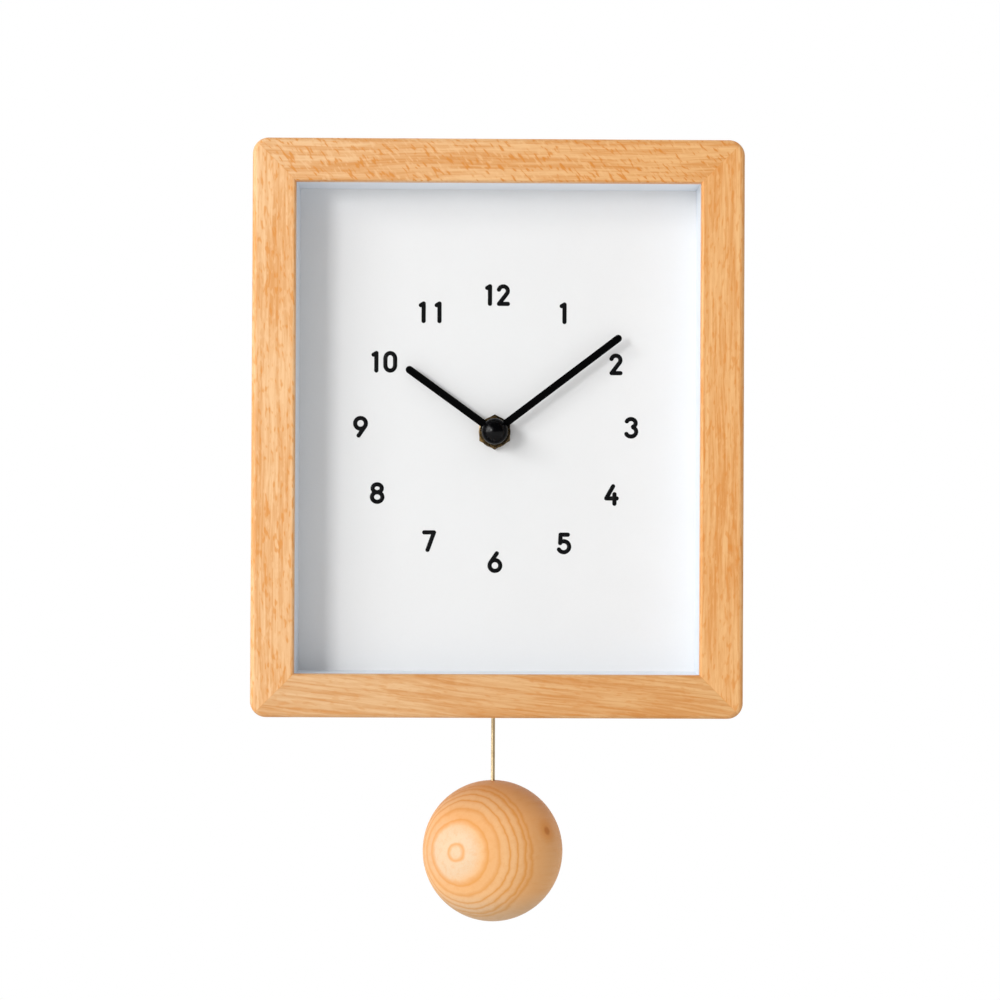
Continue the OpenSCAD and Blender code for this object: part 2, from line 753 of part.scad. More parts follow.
// Swinging lever: a boss on the pin, a tapering arm with a pad for the magnet, and a hook eye
module pendulum_lever() on_axis(white_plastic) {
    difference() {
        union() {
            slab(swing_y - lever_t / 2, lever_t) {
                polygon([
                    [-3, pivot_z], [3, pivot_z], [2.4, tongue_low - 0.5], [-2.4, tongue_low - 0.5]
                ]);
                translate([0, magnet_z]) circle(4);
            }
            slab(swing_y - hook_t / 2, hook_t) {
                span([-2.4, hook_z], [2.4, tongue_low + 1]);
                translate([0, hook_z]) circle(2.4);
            }
            staff(swing_y - 2, 4, 3, [0, pivot_z]);
        }
        staff(swing_y - 3, 6, pin_r + play, [0, pivot_z]);
        staff(swing_y - 3, 6, hook_r, [0, hook_z]);
    }
}

module pendulum_magnet() on_axis(steel)
    staff(swing_y + lever_t / 2, magnet_t, 3, [0, magnet_z]);

// Wire rod with a ring bent at its top, which hangs in the lever's eye
module pendulum_rod() on_axis(brass) {
    low = -ball_drop + ball_d / 2 - rod_seat;
    translate([0, swing_y, ring_z]) rotate([0, 90, 0]) rotate_extrude() translate([ring_r, 0]) circle(rod_r);
    translate([0, swing_y, low]) cylinder(h = ring_z - ring_r - low, r = rod_r);
}

module pendulum_ball() on_axis("wheat") translate([0, swing_y, -ball_drop]) difference() {
    sphere(ball_d / 2, $fn = 96);
    translate([0, 0, ball_d / 2 - rod_seat]) cylinder(h = rod_seat + past, r = rod_r);
}

frame_top_rail();
frame_bottom_rail();
frame_left_rail();
frame_right_rail();
liner_top();
liner_bottom();
liner_left();
liner_right();
dial_panel();
batten_top();
batten_bottom();
batten_left();
batten_right();
hanger_plate();
hanger_screws();
movement_case();
movement_cover();
middle_plate();
rubber_washer();
brass_washer();
hex_nut();
stator();
motor_coil();
circuit_board();
quartz_crystal();
battery();
contact_plus();
contact_minus();
drive_coil();
pivot_pin();
minute_arbor();
minute_hand();
hand_cap();
hour_wheel();
hour_hand();
minute_wheel();
setting_knob();
centre_wheel();
third_wheel();
seconds_wheel();
intermediate_wheel();
rotor();
pendulum_lever();
pendulum_magnet();
pendulum_rod();
pendulum_ball();
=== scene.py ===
"""Looks, light and camera for a wooden wall clock with a ball pendulum.

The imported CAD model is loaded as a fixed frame. Its nodes get procedural finishes. The printed
numerals, the brads and the screws with cross recesses are pieces of their own.
Lengths are metres: X to the right, Z up, Y into the wall, origin at the wall screw's shank.
"""
import math

import bmesh
import bpy
from bpy.props import FloatProperty, FloatVectorProperty, IntProperty, PointerProperty
from mathutils import Matrix, Vector


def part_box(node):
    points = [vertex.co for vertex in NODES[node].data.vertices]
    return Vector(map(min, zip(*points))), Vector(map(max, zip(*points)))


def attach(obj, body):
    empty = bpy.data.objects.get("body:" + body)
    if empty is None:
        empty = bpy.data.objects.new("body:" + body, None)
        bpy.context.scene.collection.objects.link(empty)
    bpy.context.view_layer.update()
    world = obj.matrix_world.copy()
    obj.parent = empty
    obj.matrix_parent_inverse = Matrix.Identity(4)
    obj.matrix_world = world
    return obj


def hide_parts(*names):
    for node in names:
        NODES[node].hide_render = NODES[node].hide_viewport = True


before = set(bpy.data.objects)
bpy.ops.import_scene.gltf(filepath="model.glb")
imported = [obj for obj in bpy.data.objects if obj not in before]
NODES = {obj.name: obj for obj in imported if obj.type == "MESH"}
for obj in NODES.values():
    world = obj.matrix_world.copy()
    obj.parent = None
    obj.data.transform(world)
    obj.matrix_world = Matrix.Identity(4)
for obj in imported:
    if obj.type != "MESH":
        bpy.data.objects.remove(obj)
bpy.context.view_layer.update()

bl_info = {
    "name": "Ball pendulum clock",
    "version": (1, 0, 0),
    "blender": (4, 5, 0),
    "location": "3D View > Sidebar > Clock",
    "description": "Finishes, numerals, fixings and studio for a wooden pendulum clock",
    "category": "Object",
}

MM = 0.001

# The frame's middle and half sizes, the faces that the added pieces sit on, and the ball
RAIL_LOW, RAIL_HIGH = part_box("frame_left_rail")
MIDDLE_Z = (RAIL_LOW.z + RAIL_HIGH.z) / 2
HALF_HEIGHT = (RAIL_HIGH.z - RAIL_LOW.z) / 2
HALF_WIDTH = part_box("frame_top_rail")[1].x
DIAL_FACE, DIAL_BACK = (end.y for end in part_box("dial_panel"))
BATTEN_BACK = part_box("batten_top")[1].y
BALL_LOW, BALL_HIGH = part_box("pendulum_ball")
BALL_CENTRE = (BALL_LOW + BALL_HIGH) / 2
BALL_RADIUS = (BALL_HIGH.x - BALL_LOW.x) / 2


def colour(name, description, value):
    return FloatVectorProperty(
        name=name, description=description, subtype="COLOR", size=4, min=0.0, max=1.0,
        default=(*value, 1.0))


def darker(shade, red, green, blue):
    """A colour with each channel times its own factor."""
    return (shade[0] * red, shade[1] * green, shade[2] * blue, 1.0)


def length(name, description, value):
    return FloatProperty(
        name=name, description=description, subtype="DISTANCE", unit="LENGTH", min=0.0,
        default=value, precision=5)


class FrameFinish(bpy.types.PropertyGroup):
    pale: colour("Pale wood", "Colour of the frame's early wood", (0.885, 0.555, 0.285))
    dark: colour("Dark wood", "Colour of the frame's late wood", (0.731, 0.333, 0.102))
    fleck: colour("Fleck", "Colour of the short flecks in the frame's wood", (0.73, 0.27, 0.038))
    drift: colour("Drift", "Tint that the wood takes on towards the right", (1.0, 0.92, 0.76))
    batten: colour("Batten wood", "Colour of the raw battens behind the dial", (0.80, 0.60, 0.37))


class DialFinish(bpy.types.PropertyGroup):
    face: colour("Dial", "Colour of the dial's painted face", (0.835, 0.842, 0.843))
    liner: colour("Liner", "Colour of the strips around the recess", (0.80, 0.85, 0.92))
    ink: colour("Ink", "Colour of the numerals", (0.002, 0.0023, 0.003))
    numeral_height: length("Numeral height", "Height of a numeral from edge to edge", 7.7 * MM)
    stroke: length("Stroke", "Width of a numeral's stroke", 1.5 * MM)
    ink_thickness: length("Ink thickness", "How far the ink stands on the dial", 0.06 * MM)


class HandFinish(bpy.types.PropertyGroup):
    paint: colour("Hand paint", "Colour of both hands", (0.0006, 0.0006, 0.0008))
    cap: colour("Cap", "Colour of the ball cap on the hands", (0.001, 0.001, 0.0015))
    # The brass is darkened for the nut: painted shade for the nut under the cap and the hands,
    # which the case's neck shares
    brass: colour("Brass", "Colour of the nut, the washer and the neck", (0.25, 0.155, 0.056))


class PendulumFinish(bpy.types.PropertyGroup):
    core: colour("Core wood", "Colour of the ball's wood around the pith", (0.83, 0.61, 0.40))
    pale: colour("Ball wood", "Colour of the ball's early wood", (0.92, 0.53, 0.245))
    ring: colour("Growth ring", "Colour of the ball's late wood", (0.82, 0.345, 0.082))
    knot: colour("Knot", "Colour of the ball's small knot", (0.60, 0.19, 0.03))
    rod: colour("Rod", "Colour of the rod's pale brass", (0.52, 0.41, 0.24))


class FixingSizes(bpy.types.PropertyGroup):
    zinc: colour("Zinc", "Colour of the hanger, its screws and the brads", (0.60, 0.61, 0.60))
    brad_radius: length("Brad head", "Radius of a brad's head", 0.75 * MM)
    brad_height: length("Brad height", "How far a brad's head stands on its batten", 0.2 * MM)
    brad_count: IntProperty(
        name="Brads", description="Number of brads round the battens", min=4, default=14)
    recess_width: length("Recess width", "Width of a screw's cross recess", 0.75 * MM)
    recess_depth: length("Recess depth", "Depth of a screw's cross recess", 0.8 * MM)


class StudioStage(bpy.types.PropertyGroup):
    lens: FloatProperty(
        name="Lens", description="Focal length of the camera in millimetres", default=83.44)
    key_power: FloatProperty(
        name="Key light", description="Power of the tall soft light on the left",
        subtype="POWER", unit="POWER", default=13.1)
    fill_power: FloatProperty(
        name="Fill light", description="Power of the wide soft light further to the left",
        subtype="POWER", unit="POWER", default=10.7)
    window: FloatProperty(
        name="Window level", description="Level of the window on the left that polished parts show",
        default=6.5)
    floor_drop: length("Floor drop", "Depth of the floor below the origin", 0.42)


class Graph:
    """A node tree, with short calls that add nodes and wire them up."""

    def __init__(self, tree):
        self.tree = tree

    def feed(self, socket, value):
        if isinstance(value, bpy.types.NodeSocket):
            self.tree.links.new(value, socket)
        elif value is not None:
            socket.default_value = value

    def fill(self, node, **values):
        """Feeds a node's inputs by their names, with _ for a space."""
        for name, value in values.items():
            self.feed(node.inputs[name.replace("_", " ")], value)
        return node

    def node(self, kind, settings=None, **inputs):
        made = self.tree.nodes.new(kind)
        for name, value in (settings or {}).items():
            setattr(made, name, value)
        return self.fill(made, **inputs)

    def numbered(self, kind, settings, values):
        """A node whose inputs are fed by their numbers, because their names repeat."""
        made = self.node(kind, settings)
        for index, value in values:
            self.feed(made.inputs[index], value)
        return made

    def math(self, operation, *values):
        settings = {"operation": operation}
        return self.numbered("ShaderNodeMath", settings, enumerate(values)).outputs[0]

    def plus(self, *values):
        return self.math("ADD", *values)

    def minus(self, *values):
        return self.math("SUBTRACT", *values)

    def times(self, *values):
        return self.math("MULTIPLY", *values)

    def wave(self, value, pitch):
        """A sine that repeats after a length."""
        return self.math("SINE", self.times(value, 2 * math.pi / pitch))

    def vector(self, operation, *values):
        settings = {"operation": operation}
        made = self.numbered("ShaderNodeVectorMath", settings, enumerate(values))
        return made.outputs[1 if operation in ("LENGTH", "DISTANCE", "DOT_PRODUCT") else 0]

    def scaled(self, vector, factor=1 / MM):
        """A vector times a number. Without one, metres become millimetres."""
        settings = {"operation": "SCALE"}
        return self.node("ShaderNodeVectorMath", settings, Vector=vector, Scale=factor).outputs[0]

    def ramp(self, value, low, high, to_low=0.0, to_high=1.0):
        """Eases a value from to_low at low to to_high at high."""
        settings = {"interpolation_type": "SMOOTHSTEP"}
        values = enumerate((value, low, high, to_low, to_high))
        return self.numbered("ShaderNodeMapRange", settings, values).outputs[0]

    def mix(self, share, low, high, blend="MIX"):
        """Goes from the colour low to the colour high, by a share."""
        settings = {"data_type": "RGBA", "blend_type": blend}
        values = ((0, share), (6, low), (7, high))
        return self.numbered("ShaderNodeMix", settings, values).outputs[2]

    def tint(self, share, low, high):
        """Multiplies the colour low by high, by a share."""
        return self.mix(share, low, high, "MULTIPLY")

    def noise(self, vector, stretch, detail=2.0):
        """Noise whose cells measure 1 / stretch along each axis."""
        drawn_out = self.vector("MULTIPLY", vector, stretch)
        return self.node(
            "ShaderNodeTexNoise", Vector=drawn_out, Scale=1.0, Detail=detail).outputs[0]

    def shape(self, kind, settings=None, **inputs):
        """A geometry node, as its first output."""
        return self.node("GeometryNode" + kind, settings, **inputs).outputs[0]

    def split(self, vector):
        return self.node("ShaderNodeSeparateXYZ", Vector=vector).outputs

    def grey(self, value):
        return self.node("ShaderNodeCombineColor", Red=value, Green=value, Blue=value).outputs[0]


def shader_group(name, outputs, **inputs):
    """An empty shader group, as (graph, inputs, output node). It takes a vector first, then
    inputs whose kind follows from their default: a value, a vector or a colour."""
    tree = bpy.data.node_groups.new(name, "ShaderNodeTree")
    tree.interface.new_socket("Vector", in_out="INPUT", socket_type="NodeSocketVector")
    for title, default in inputs.items():
        size = len(default) if isinstance(default, tuple) else 1
        kind = {1: "NodeSocketFloat", 3: "NodeSocketVector", 4: "NodeSocketColor"}[size]
        socket = tree.interface.new_socket(title, in_out="INPUT", socket_type=kind)
        socket.default_value = default
    for title in outputs:
        kind = "NodeSocketColor" if title == "Color" else "NodeSocketFloat"
        tree.interface.new_socket(title, in_out="OUTPUT", socket_type=kind)
    graph = Graph(tree)
    return graph, graph.node("NodeGroupInput").outputs, graph.node("NodeGroupOutput")


SKIN_OUTPUTS = ("Color", "Roughness", "Height")


def make_wood_group():
    """Straight streaks, fibres and short flecks along the vector's Z. Slant turns the flecks
    about Y, out of the grain."""
    graph, given, result = shader_group(
        "wood_grain", SKIN_OUTPUTS, Pale=(0.9, 0.6, 0.3, 1.0), Dark=(0.7, 0.4, 0.2, 1.0),
        Fleck=(0.5, 0.2, 0.1, 1.0), Flecks=1.0, Slant=0.0, Tone=1.0)
    at = graph.scaled(given["Vector"])
    # The grain wanders by a few millimetres over its length
    wander = graph.node("ShaderNodeTexNoise", Vector=graph.vector(
        "MULTIPLY", at, (0.05, 0.05, 0.012)), Scale=1.0, Detail=1.0).outputs[1]
    wander = graph.vector("SUBTRACT", wander, (0.5, 0.5, 0.5))
    at = graph.vector("ADD", at, graph.vector("MULTIPLY", wander, (5, 5, 0)))
    broad = graph.noise(at, (0.22, 0.22, 0.008))
    streak = graph.noise(at, (0.62, 0.62, 0.022))
    fine = graph.noise(at, (1.5, 1.5, 0.07), 1.0)
    fibre = graph.noise(at, (3.6, 3.6, 0.30))
    turn = graph.node("ShaderNodeVectorRotate", {"rotation_type": "Y_AXIS"}, Vector=at,
                      Angle=given["Slant"]).outputs[0]
    speck = graph.noise(turn, (1.0, 1.0, 0.29), 1.0)
    share = graph.plus(graph.ramp(broad, 0.38, 0.64, 0.0, 0.25),
                       graph.ramp(streak, 0.42, 0.58, 0.0, 0.50))
    share = graph.plus(share, graph.ramp(fine, 0.42, 0.60, 0.0, 0.30))
    shade = graph.mix(share, given["Pale"], given["Dark"])
    shade = graph.mix(graph.ramp(fibre, 0.46, 0.74, 0.0, 0.25), shade, given["Dark"])
    glints = graph.times(graph.ramp(speck, 0.42, 0.30, 0.0, 0.6), given["Flecks"])
    shade = graph.mix(glints, shade, given["Pale"])
    marks = graph.times(graph.ramp(speck, 0.55, 0.70), given["Flecks"])
    shade = graph.mix(graph.times(marks, 0.85), shade, given["Fleck"])
    graph.fill(
        result, Color=graph.tint(1.0, shade, graph.grey(given["Tone"])),
        Roughness=graph.ramp(fibre, 0.3, 0.7, 0.42, 0.54),
        Height=graph.minus(fibre, graph.times(marks, 0.2)))
    return graph.tree


def make_mitre_group():
    """The fine seam where two rails meet, and the V-shaped nail across its back."""
    graph, given, result = shader_group("mitre_joint", ("Seam", "Nail"))
    x, y, z = graph.split(given["Vector"])
    inset_x = graph.minus(graph.math("ABSOLUTE", x), HALF_WIDTH)
    inset_z = graph.minus(graph.math("ABSOLUTE", graph.minus(z, MIDDLE_Z)), HALF_HEIGHT)
    across = graph.times(graph.math("ABSOLUTE", graph.minus(inset_x, inset_z)), 1 / math.sqrt(2))
    along = graph.times(graph.plus(inset_x, inset_z), 1 / math.sqrt(2))
    # The V's point lies inwards from the frame's corner, and its arms open towards the corner
    point_inset, arm_length, opening = 13.5 * MM, 6.5 * MM, 0.6
    half_thickness, depth = 0.35 * MM, 0.1 * MM
    reach = graph.plus(along, point_inset)
    off_arm = graph.math("ABSOLUTE", graph.minus(across, graph.times(reach, opening)))
    nail = graph.math("LESS_THAN", off_arm, half_thickness)
    nail = graph.times(nail, graph.math("GREATER_THAN", reach, 0.0))
    nail = graph.times(nail, graph.math("LESS_THAN", reach, arm_length))
    nail = graph.times(nail, graph.math("GREATER_THAN", y, -depth))
    graph.fill(result, Seam=graph.ramp(across, 0.22 * MM, 0.06 * MM), Nail=nail)
    return graph.tree


def make_metal_group():
    """Drawn or brushed metal with a few duller patches."""
    graph, given, result = shader_group(
        "metal_skin", SKIN_OUTPUTS, Base=(0.6, 0.6, 0.6, 1.0), Stain=(0.4, 0.4, 0.4, 1.0),
        Brush=(3.0, 3.0, 3.0), Level=0.3)
    at = graph.scaled(given["Vector"])
    stroke = graph.noise(at, given["Brush"])
    patch = graph.noise(at, (0.45, 0.45, 0.45), 3.0)
    shade = graph.mix(graph.ramp(patch, 0.42, 0.72, 0.0, 0.7), given["Base"], given["Stain"])
    shade = graph.mix(graph.ramp(stroke, 0.35, 0.70, 0.0, 0.25), shade, given["Stain"])
    rough = graph.plus(given["Level"], graph.ramp(stroke, 0.3, 0.7, -0.06, 0.08))
    rough = graph.plus(rough, graph.ramp(patch, 0.45, 0.75, 0.0, 0.14))
    graph.fill(result, Color=shade, Roughness=rough, Height=stroke)
    return graph.tree


def make_moulded_group():
    """The fine stipple and slow shade changes of moulded, painted or rubber surfaces."""
    graph, given, result = shader_group(
        "moulded_skin", SKIN_OUTPUTS, Base=(0.5, 0.5, 0.5, 1.0), Level=0.5, Stipple=4.0,
        Variation=0.1)
    at = graph.scaled(given["Vector"])
    fine = graph.node(
        "ShaderNodeTexNoise", Vector=at, Scale=given["Stipple"], Detail=2.0).outputs[0]
    slow = graph.noise(at, (0.05, 0.05, 0.05), 3.0)
    uneven = graph.minus(1.0, graph.times(graph.ramp(slow, 0.3, 0.7), given["Variation"]))
    shade = graph.tint(1.0, given["Base"], graph.grey(uneven))
    speckle = graph.times(graph.ramp(fine, 0.35, 0.75), given["Variation"])
    rough = graph.plus(given["Level"], graph.ramp(fine, 0.3, 0.7, -0.05, 0.06))
    graph.fill(
        result, Color=graph.tint(speckle, shade, (0.5, 0.5, 0.5, 1.0)),
        Roughness=graph.plus(rough, graph.ramp(slow, 0.4, 0.7, 0.0, 0.05)), Height=fine)
    return graph.tree


def group(name):
    """A shared shader group, built the first time that it is asked for."""
    makers = {
        "wood_grain": make_wood_group,
        "mitre_joint": make_mitre_group,
        "metal_skin": make_metal_group,
        "moulded_skin": make_moulded_group,
    }
    return bpy.data.node_groups.get(name) or makers[name]()


class Finish(Graph):
    """A material under construction. Constants stay on the shader's own sockets."""

    def __init__(self, name, **constants):
        self.material = bpy.data.materials.new(name)
        self.material.use_nodes = True
        super().__init__(self.material.node_tree)
        self.shader = self.tree.nodes["Principled BSDF"]
        self.fill(self.shader, **constants)
        self.place = self.node("ShaderNodeTexCoord").outputs["Object"]

    def turned(self, rotation, location=(0, 0, 0)):
        """Object coordinates, turned and moved so that a pattern lies along its piece."""
        return self.node(
            "ShaderNodeMapping", Vector=self.place, Rotation=rotation, Location=location).outputs[0]

    def skin(self, kind, **inputs):
        inputs.setdefault("Vector", self.place)
        return self.node("ShaderNodeGroup", {"node_tree": group(kind)}, **inputs).outputs

    def wear(self, shade, rough=None, metal=None, height=None, relief=0.0):
        """Feeds the shader's varying sockets; relief is the depth of the height map."""
        self.fill(self.shader, Base_Color=shade, Roughness=rough, Metallic=metal)
        if height is not None:
            bump = self.node("ShaderNodeBump", Height=height, Distance=relief, Strength=1.0)
            self.fill(self.shader, Normal=bump.outputs[0])
        return self.material

    def coat(self, kind, relief, **inputs):
        """Wears a shared skin as it is."""
        skin = self.skin(kind, **inputs)
        return self.wear(skin["Color"], skin["Roughness"], None, skin["Height"], relief)


def dress(material, *names):
    """Gives CAD nodes a finish."""
    for name in names:
        node = NODES[name]
        node.data.materials.clear()
        node.data.materials.append(material)


def metal(name, nodes=(), relief=0.01 * MM, metallic=1.0, **skin):
    """A metal that is the shared skin as it is, on the CAD nodes that wear it."""
    made = Finish(name, Metallic=metallic)
    dress(made.coat("metal_skin", relief, **skin), *nodes)
    return made.material


def moulded(name, nodes=(), relief=0.01 * MM, specular=0.5, **skin):
    """Paint, plastic or rubber that is the shared skin as it is, on the CAD nodes that wear it."""
    made = Finish(name, Specular_IOR_Level=specular)
    dress(made.coat("moulded_skin", relief, **skin), *nodes)
    return made.material


def put(name, data):
    """A new object in the scene."""
    made = bpy.data.objects.new(name, data)
    bpy.context.scene.collection.objects.link(made)
    return made


def piece(name, mesh, material):
    """A new piece from a finished mesh, which rides on the clock's fixed body."""
    mesh.materials.clear()
    mesh.materials.append(material)
    made = put(name, mesh)
    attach(made, "clock")
    return made


def new_mesh(name, points, edges=(), faces=()):
    mesh = bpy.data.meshes.new(name)
    mesh.from_pydata([tuple(p) for p in points], edges, faces)
    mesh.update()
    return mesh


def lathe(name, profile, steps=48):
    """A closed turned shape around the Y axis from points (radius, y) that start and end on it."""
    points = []
    rings = []
    for radius, y in profile:
        if radius == 0:
            rings.append([len(points)])
            points.append((0.0, y, 0.0))
            continue
        rings.append(list(range(len(points), len(points) + steps)))
        for step in range(steps):
            turn = 2 * math.pi * step / steps
            points.append((radius * math.cos(turn), y, radius * math.sin(turn)))
    faces = []
    for low, high in zip(rings, rings[1:]):
        for i in range(steps):
            j = (i + 1) % steps
            ends = ((low, i), (low, j), (high, j), (high, i))
            corners = [ring[k % len(ring)] for ring, k in ends]
            faces.append(list(dict.fromkeys(corners)))
    mesh = new_mesh(name, points, (), faces)
    shell = bmesh.new()
    shell.from_mesh(mesh)
    bmesh.ops.recalc_face_normals(shell, faces=shell.faces)
    shell.to_mesh(mesh)
    shell.free()
    return mesh


def geometry_tree(name, **inputs):
    """An empty geometry tree with inputs of the given kinds, as (graph, inputs)."""
    tree = bpy.data.node_groups.new(name, "GeometryNodeTree")
    for title, kind in inputs.items():
        tree.interface.new_socket(
            title.replace("_", " "), in_out="INPUT", socket_type="NodeSocket" + kind)
    tree.interface.new_socket("Geometry", in_out="OUTPUT", socket_type="NodeSocketGeometry")
    graph = Graph(tree)
    return graph, graph.node("NodeGroupInput").outputs


def close_tree(graph, geometry, material):
    """Ends a geometry tree in real, finished geometry, and returns the tree."""
    real = graph.shape("RealizeInstances", Geometry=geometry)
    painted = graph.shape("SetMaterial", Geometry=real, Material=material)
    graph.node("NodeGroupOutput", Geometry=painted)
    return graph.tree


def grow(name, mesh, tree, **settings):
    """Runs a geometry tree on a mesh and returns the result as a plain mesh."""
    seed = put(name, mesh)
    modifier = seed.modifiers.new("build", "NODES")
    modifier.node_group = tree
    for item in tree.interface.items_tree:
        key = item.name.replace(" ", "_")
        if item.in_out == "INPUT" and key in settings:
            modifier[item.identifier] = settings[key]
    bpy.context.view_layer.update()
    evaluated = seed.evaluated_get(bpy.context.evaluated_depsgraph_get())
    grown = bpy.data.meshes.new_from_object(evaluated)
    bpy.data.objects.remove(seed)
    if not grown.polygons:
        raise RuntimeError(f"the tree {tree.name} made no faces for {name}")
    grown.name = name
    return grown


# Height of a digit between the middles of its strokes, in the units that it is drawn in. At the
# numerals' default height a unit is a millimetre.
DIGIT_TOP = 6.2


def arc(x, z, radius, start, end, steps=12, width=None):
    """Points along a circle, or along an ellipse where a half width is given."""
    turns = [math.radians(start + (end - start) * i / steps) for i in range(steps + 1)]
    return [(x + (width or radius) * math.cos(t), z + radius * math.sin(t)) for t in turns]


def digit_strokes(digit):
    """Centre lines of a digit's strokes, drawn around x = 0. One that ends where it starts is a
    loop."""
    top = DIGIT_TOP
    return {
        "0": [arc(0, top - 1.95, 1.95, 0, 180, 14, 1.72) + arc(0, 1.95, 1.95, 180, 360, 14, 1.72)
              + [(1.72, top - 1.95)]],
        "1": [[(0.4, 0), (0.4, top), (-0.6, top - 0.6)]],
        "2": [arc(0, top - 1.6, 1.6, 165, -40) + [(-1.5, 0), (1.65, 0)]],
        "3": [arc(-0.1, top - 1.45, 1.45, 155, -64, 12, 1.65)
              + arc(-0.1, 1.7, 1.7, 64, -152, 12, 1.85)],
        "4": [[(0.55, top), (-1.85, 1.9), (1.85, 1.9)], [(1.05, 3.4), (1.05, 0)]],
        "5": [[(1.45, top), (-1.1, top), (-1.25, 3.2)] + arc(0, 1.95, 1.95, 128, -150, 16)],
        "6": [arc(0, 1.9, 1.9, 150, 510, 24), [(0.65, top), (-1.64, 2.85)]],
        "7": [[(-1.75, top), (1.7, top), (-0.55, 0)]],
        "8": [arc(0, top - 1.4, 1.4, 270, 630, 24, 1.62), arc(0, 1.7, 1.7, 90, 450, 24, 1.85)],
        "9": [arc(0, top - 1.9, 1.9, -30, 330, 24), [(-0.65, 0), (1.64, top - 2.85)]],
    }[digit]


# Centres of the numerals around the dial's middle, in millimetres
NUMERAL_CENTRES = {
    "12": (-0.2, 47.8), "1": (23.0, 41.5), "2": (41.8, 23.5), "3": (47.3, 1.1),
    "4": (40.4, -22.7), "5": (23.7, -39.9), "6": (-0.7, -46.6), "7": (-24.0, -39.3),
    "8": (-42.4, -22.4), "9": (-48.4, 1.0), "10": (-40.1, 24.0), "11": (-24.0, 41.6),
}
# Step from one digit to the next
DIGIT_PITCH = {"10": 5.3, "11": 5.6, "12": 5.1}
SHARP_TURN = math.radians(25)
CLOSED_GAP = 1e-6


def corner(stroke, i):
    """Whether a stroke turns sharply at a point."""
    before, here, after = (Vector(stroke[k]) for k in (i - 1, i, i + 1))
    return (here - before).angle(after - here) > SHARP_TURN


def straight_runs(stroke):
    """Splits a stroke at its sharp corners, where a ribbon would pinch."""
    runs, first = [], 0
    for i in range(1, len(stroke) - 1):
        if corner(stroke, i):
            runs.append(stroke[first:i + 1])
            first = i
    return runs + [stroke[first:]]


def numeral_skeleton(sizes):
    """All numerals' centre lines as one mesh of edges, drawn flat in X and Y."""
    scale = (sizes.numeral_height - sizes.stroke) / DIGIT_TOP
    points, edges, ends = [], [], []
    for numeral, (centre_x, centre_z) in NUMERAL_CENTRES.items():
        pitch = DIGIT_PITCH.get(numeral, 0.0)
        runs = []
        for place, digit in enumerate(numeral):
            shift = (place - (len(numeral) - 1) / 2) * pitch
            for stroke in digit_strokes(digit):
                runs += straight_runs([(x + shift, z) for x, z in stroke])
        middle = sum(f(x for run in runs for x, _ in run) for f in (min, max)) / 2
        for run in runs:
            loop = math.dist(run[0], run[-1]) < CLOSED_GAP
            kept = run[:-1] if loop else run
            first = len(points)
            for x, z in kept:
                points.append((
                    centre_x * MM + (x - middle) * scale,
                    centre_z * MM + (z - DIGIT_TOP / 2) * scale, 0.0))
            ends += [not loop and i in (0, len(kept) - 1) for i in range(len(kept))]
            edges += [(first + i, first + i + 1) for i in range(len(kept) - 1)]
            if loop:
                edges.append((first + len(kept) - 1, first))
    mesh = new_mesh("numeral_skeleton", points, edges)
    mesh.attributes.new("round_end", "BOOLEAN", "POINT").data.foreach_set("value", ends)
    return mesh


def numeral_tree():
    """Flat strokes with round ends along a skeleton of edges, joined into one sheet of ink."""
    graph, given = geometry_tree(
        "numeral_ink", Skeleton="Geometry", Stroke="Float", Thickness="Float", Ink="Material")
    line = graph.shape("MeshToCurve", Mesh=given["Skeleton"])
    level = graph.shape("SetCurveNormal", {"mode": "Z_UP"}, Curve=line)
    section = graph.shape(
        "CurvePrimitiveQuadrilateral", Width=given["Stroke"], Height=given["Thickness"])
    ribbon = graph.shape("CurveToMesh", Curve=level, Profile_Curve=section, Fill_Caps=True)
    disc = graph.shape(
        "MeshCylinder", Vertices=24, Radius=graph.times(given["Stroke"], 0.5),
        Depth=given["Thickness"])
    round_end = graph.shape("InputNamedAttribute", {"data_type": "BOOLEAN"}, Name="round_end")
    discs = graph.shape(
        "InstanceOnPoints", Points=given["Skeleton"], Instance=disc, Selection=round_end)
    joined = graph.node("GeometryNodeJoinGeometry")
    graph.feed(joined.inputs[0], ribbon)
    graph.feed(joined.inputs[0], graph.shape("RealizeInstances", Geometry=discs))
    union = graph.shape(
        "MeshBoolean", {"operation": "UNION", "solver": "EXACT"}, Self_Intersection=True,
        Mesh_2=joined.outputs[0])
    # The union leaves corners that all but touch
    clean = graph.shape("MergeByDistance", Geometry=union, Distance=0.0001 * MM)
    return close_tree(graph, clean, given["Ink"])


def brad_tree():
    """Brad heads at even steps round a rectangle that is drawn flat in X and Y."""
    graph, given = geometry_tree(
        "brad_round", Base="Geometry", Width="Float", Height="Float", Count="Int",
        Head_Radius="Float", Head_Height="Float", Metal="Material")
    path = graph.shape(
        "CurvePrimitiveQuadrilateral", Width=given["Width"], Height=given["Height"])
    steps = graph.shape("ResampleCurve", Curve=path, Count=given["Count"])
    head = graph.shape(
        "MeshCone", Vertices=14, Radius_Bottom=given["Head Radius"],
        Radius_Top=graph.times(given["Head Radius"], 0.7), Depth=given["Head Height"])
    heads = graph.shape("InstanceOnPoints", Points=steps, Instance=head)
    return close_tree(graph, heads, given["Metal"])


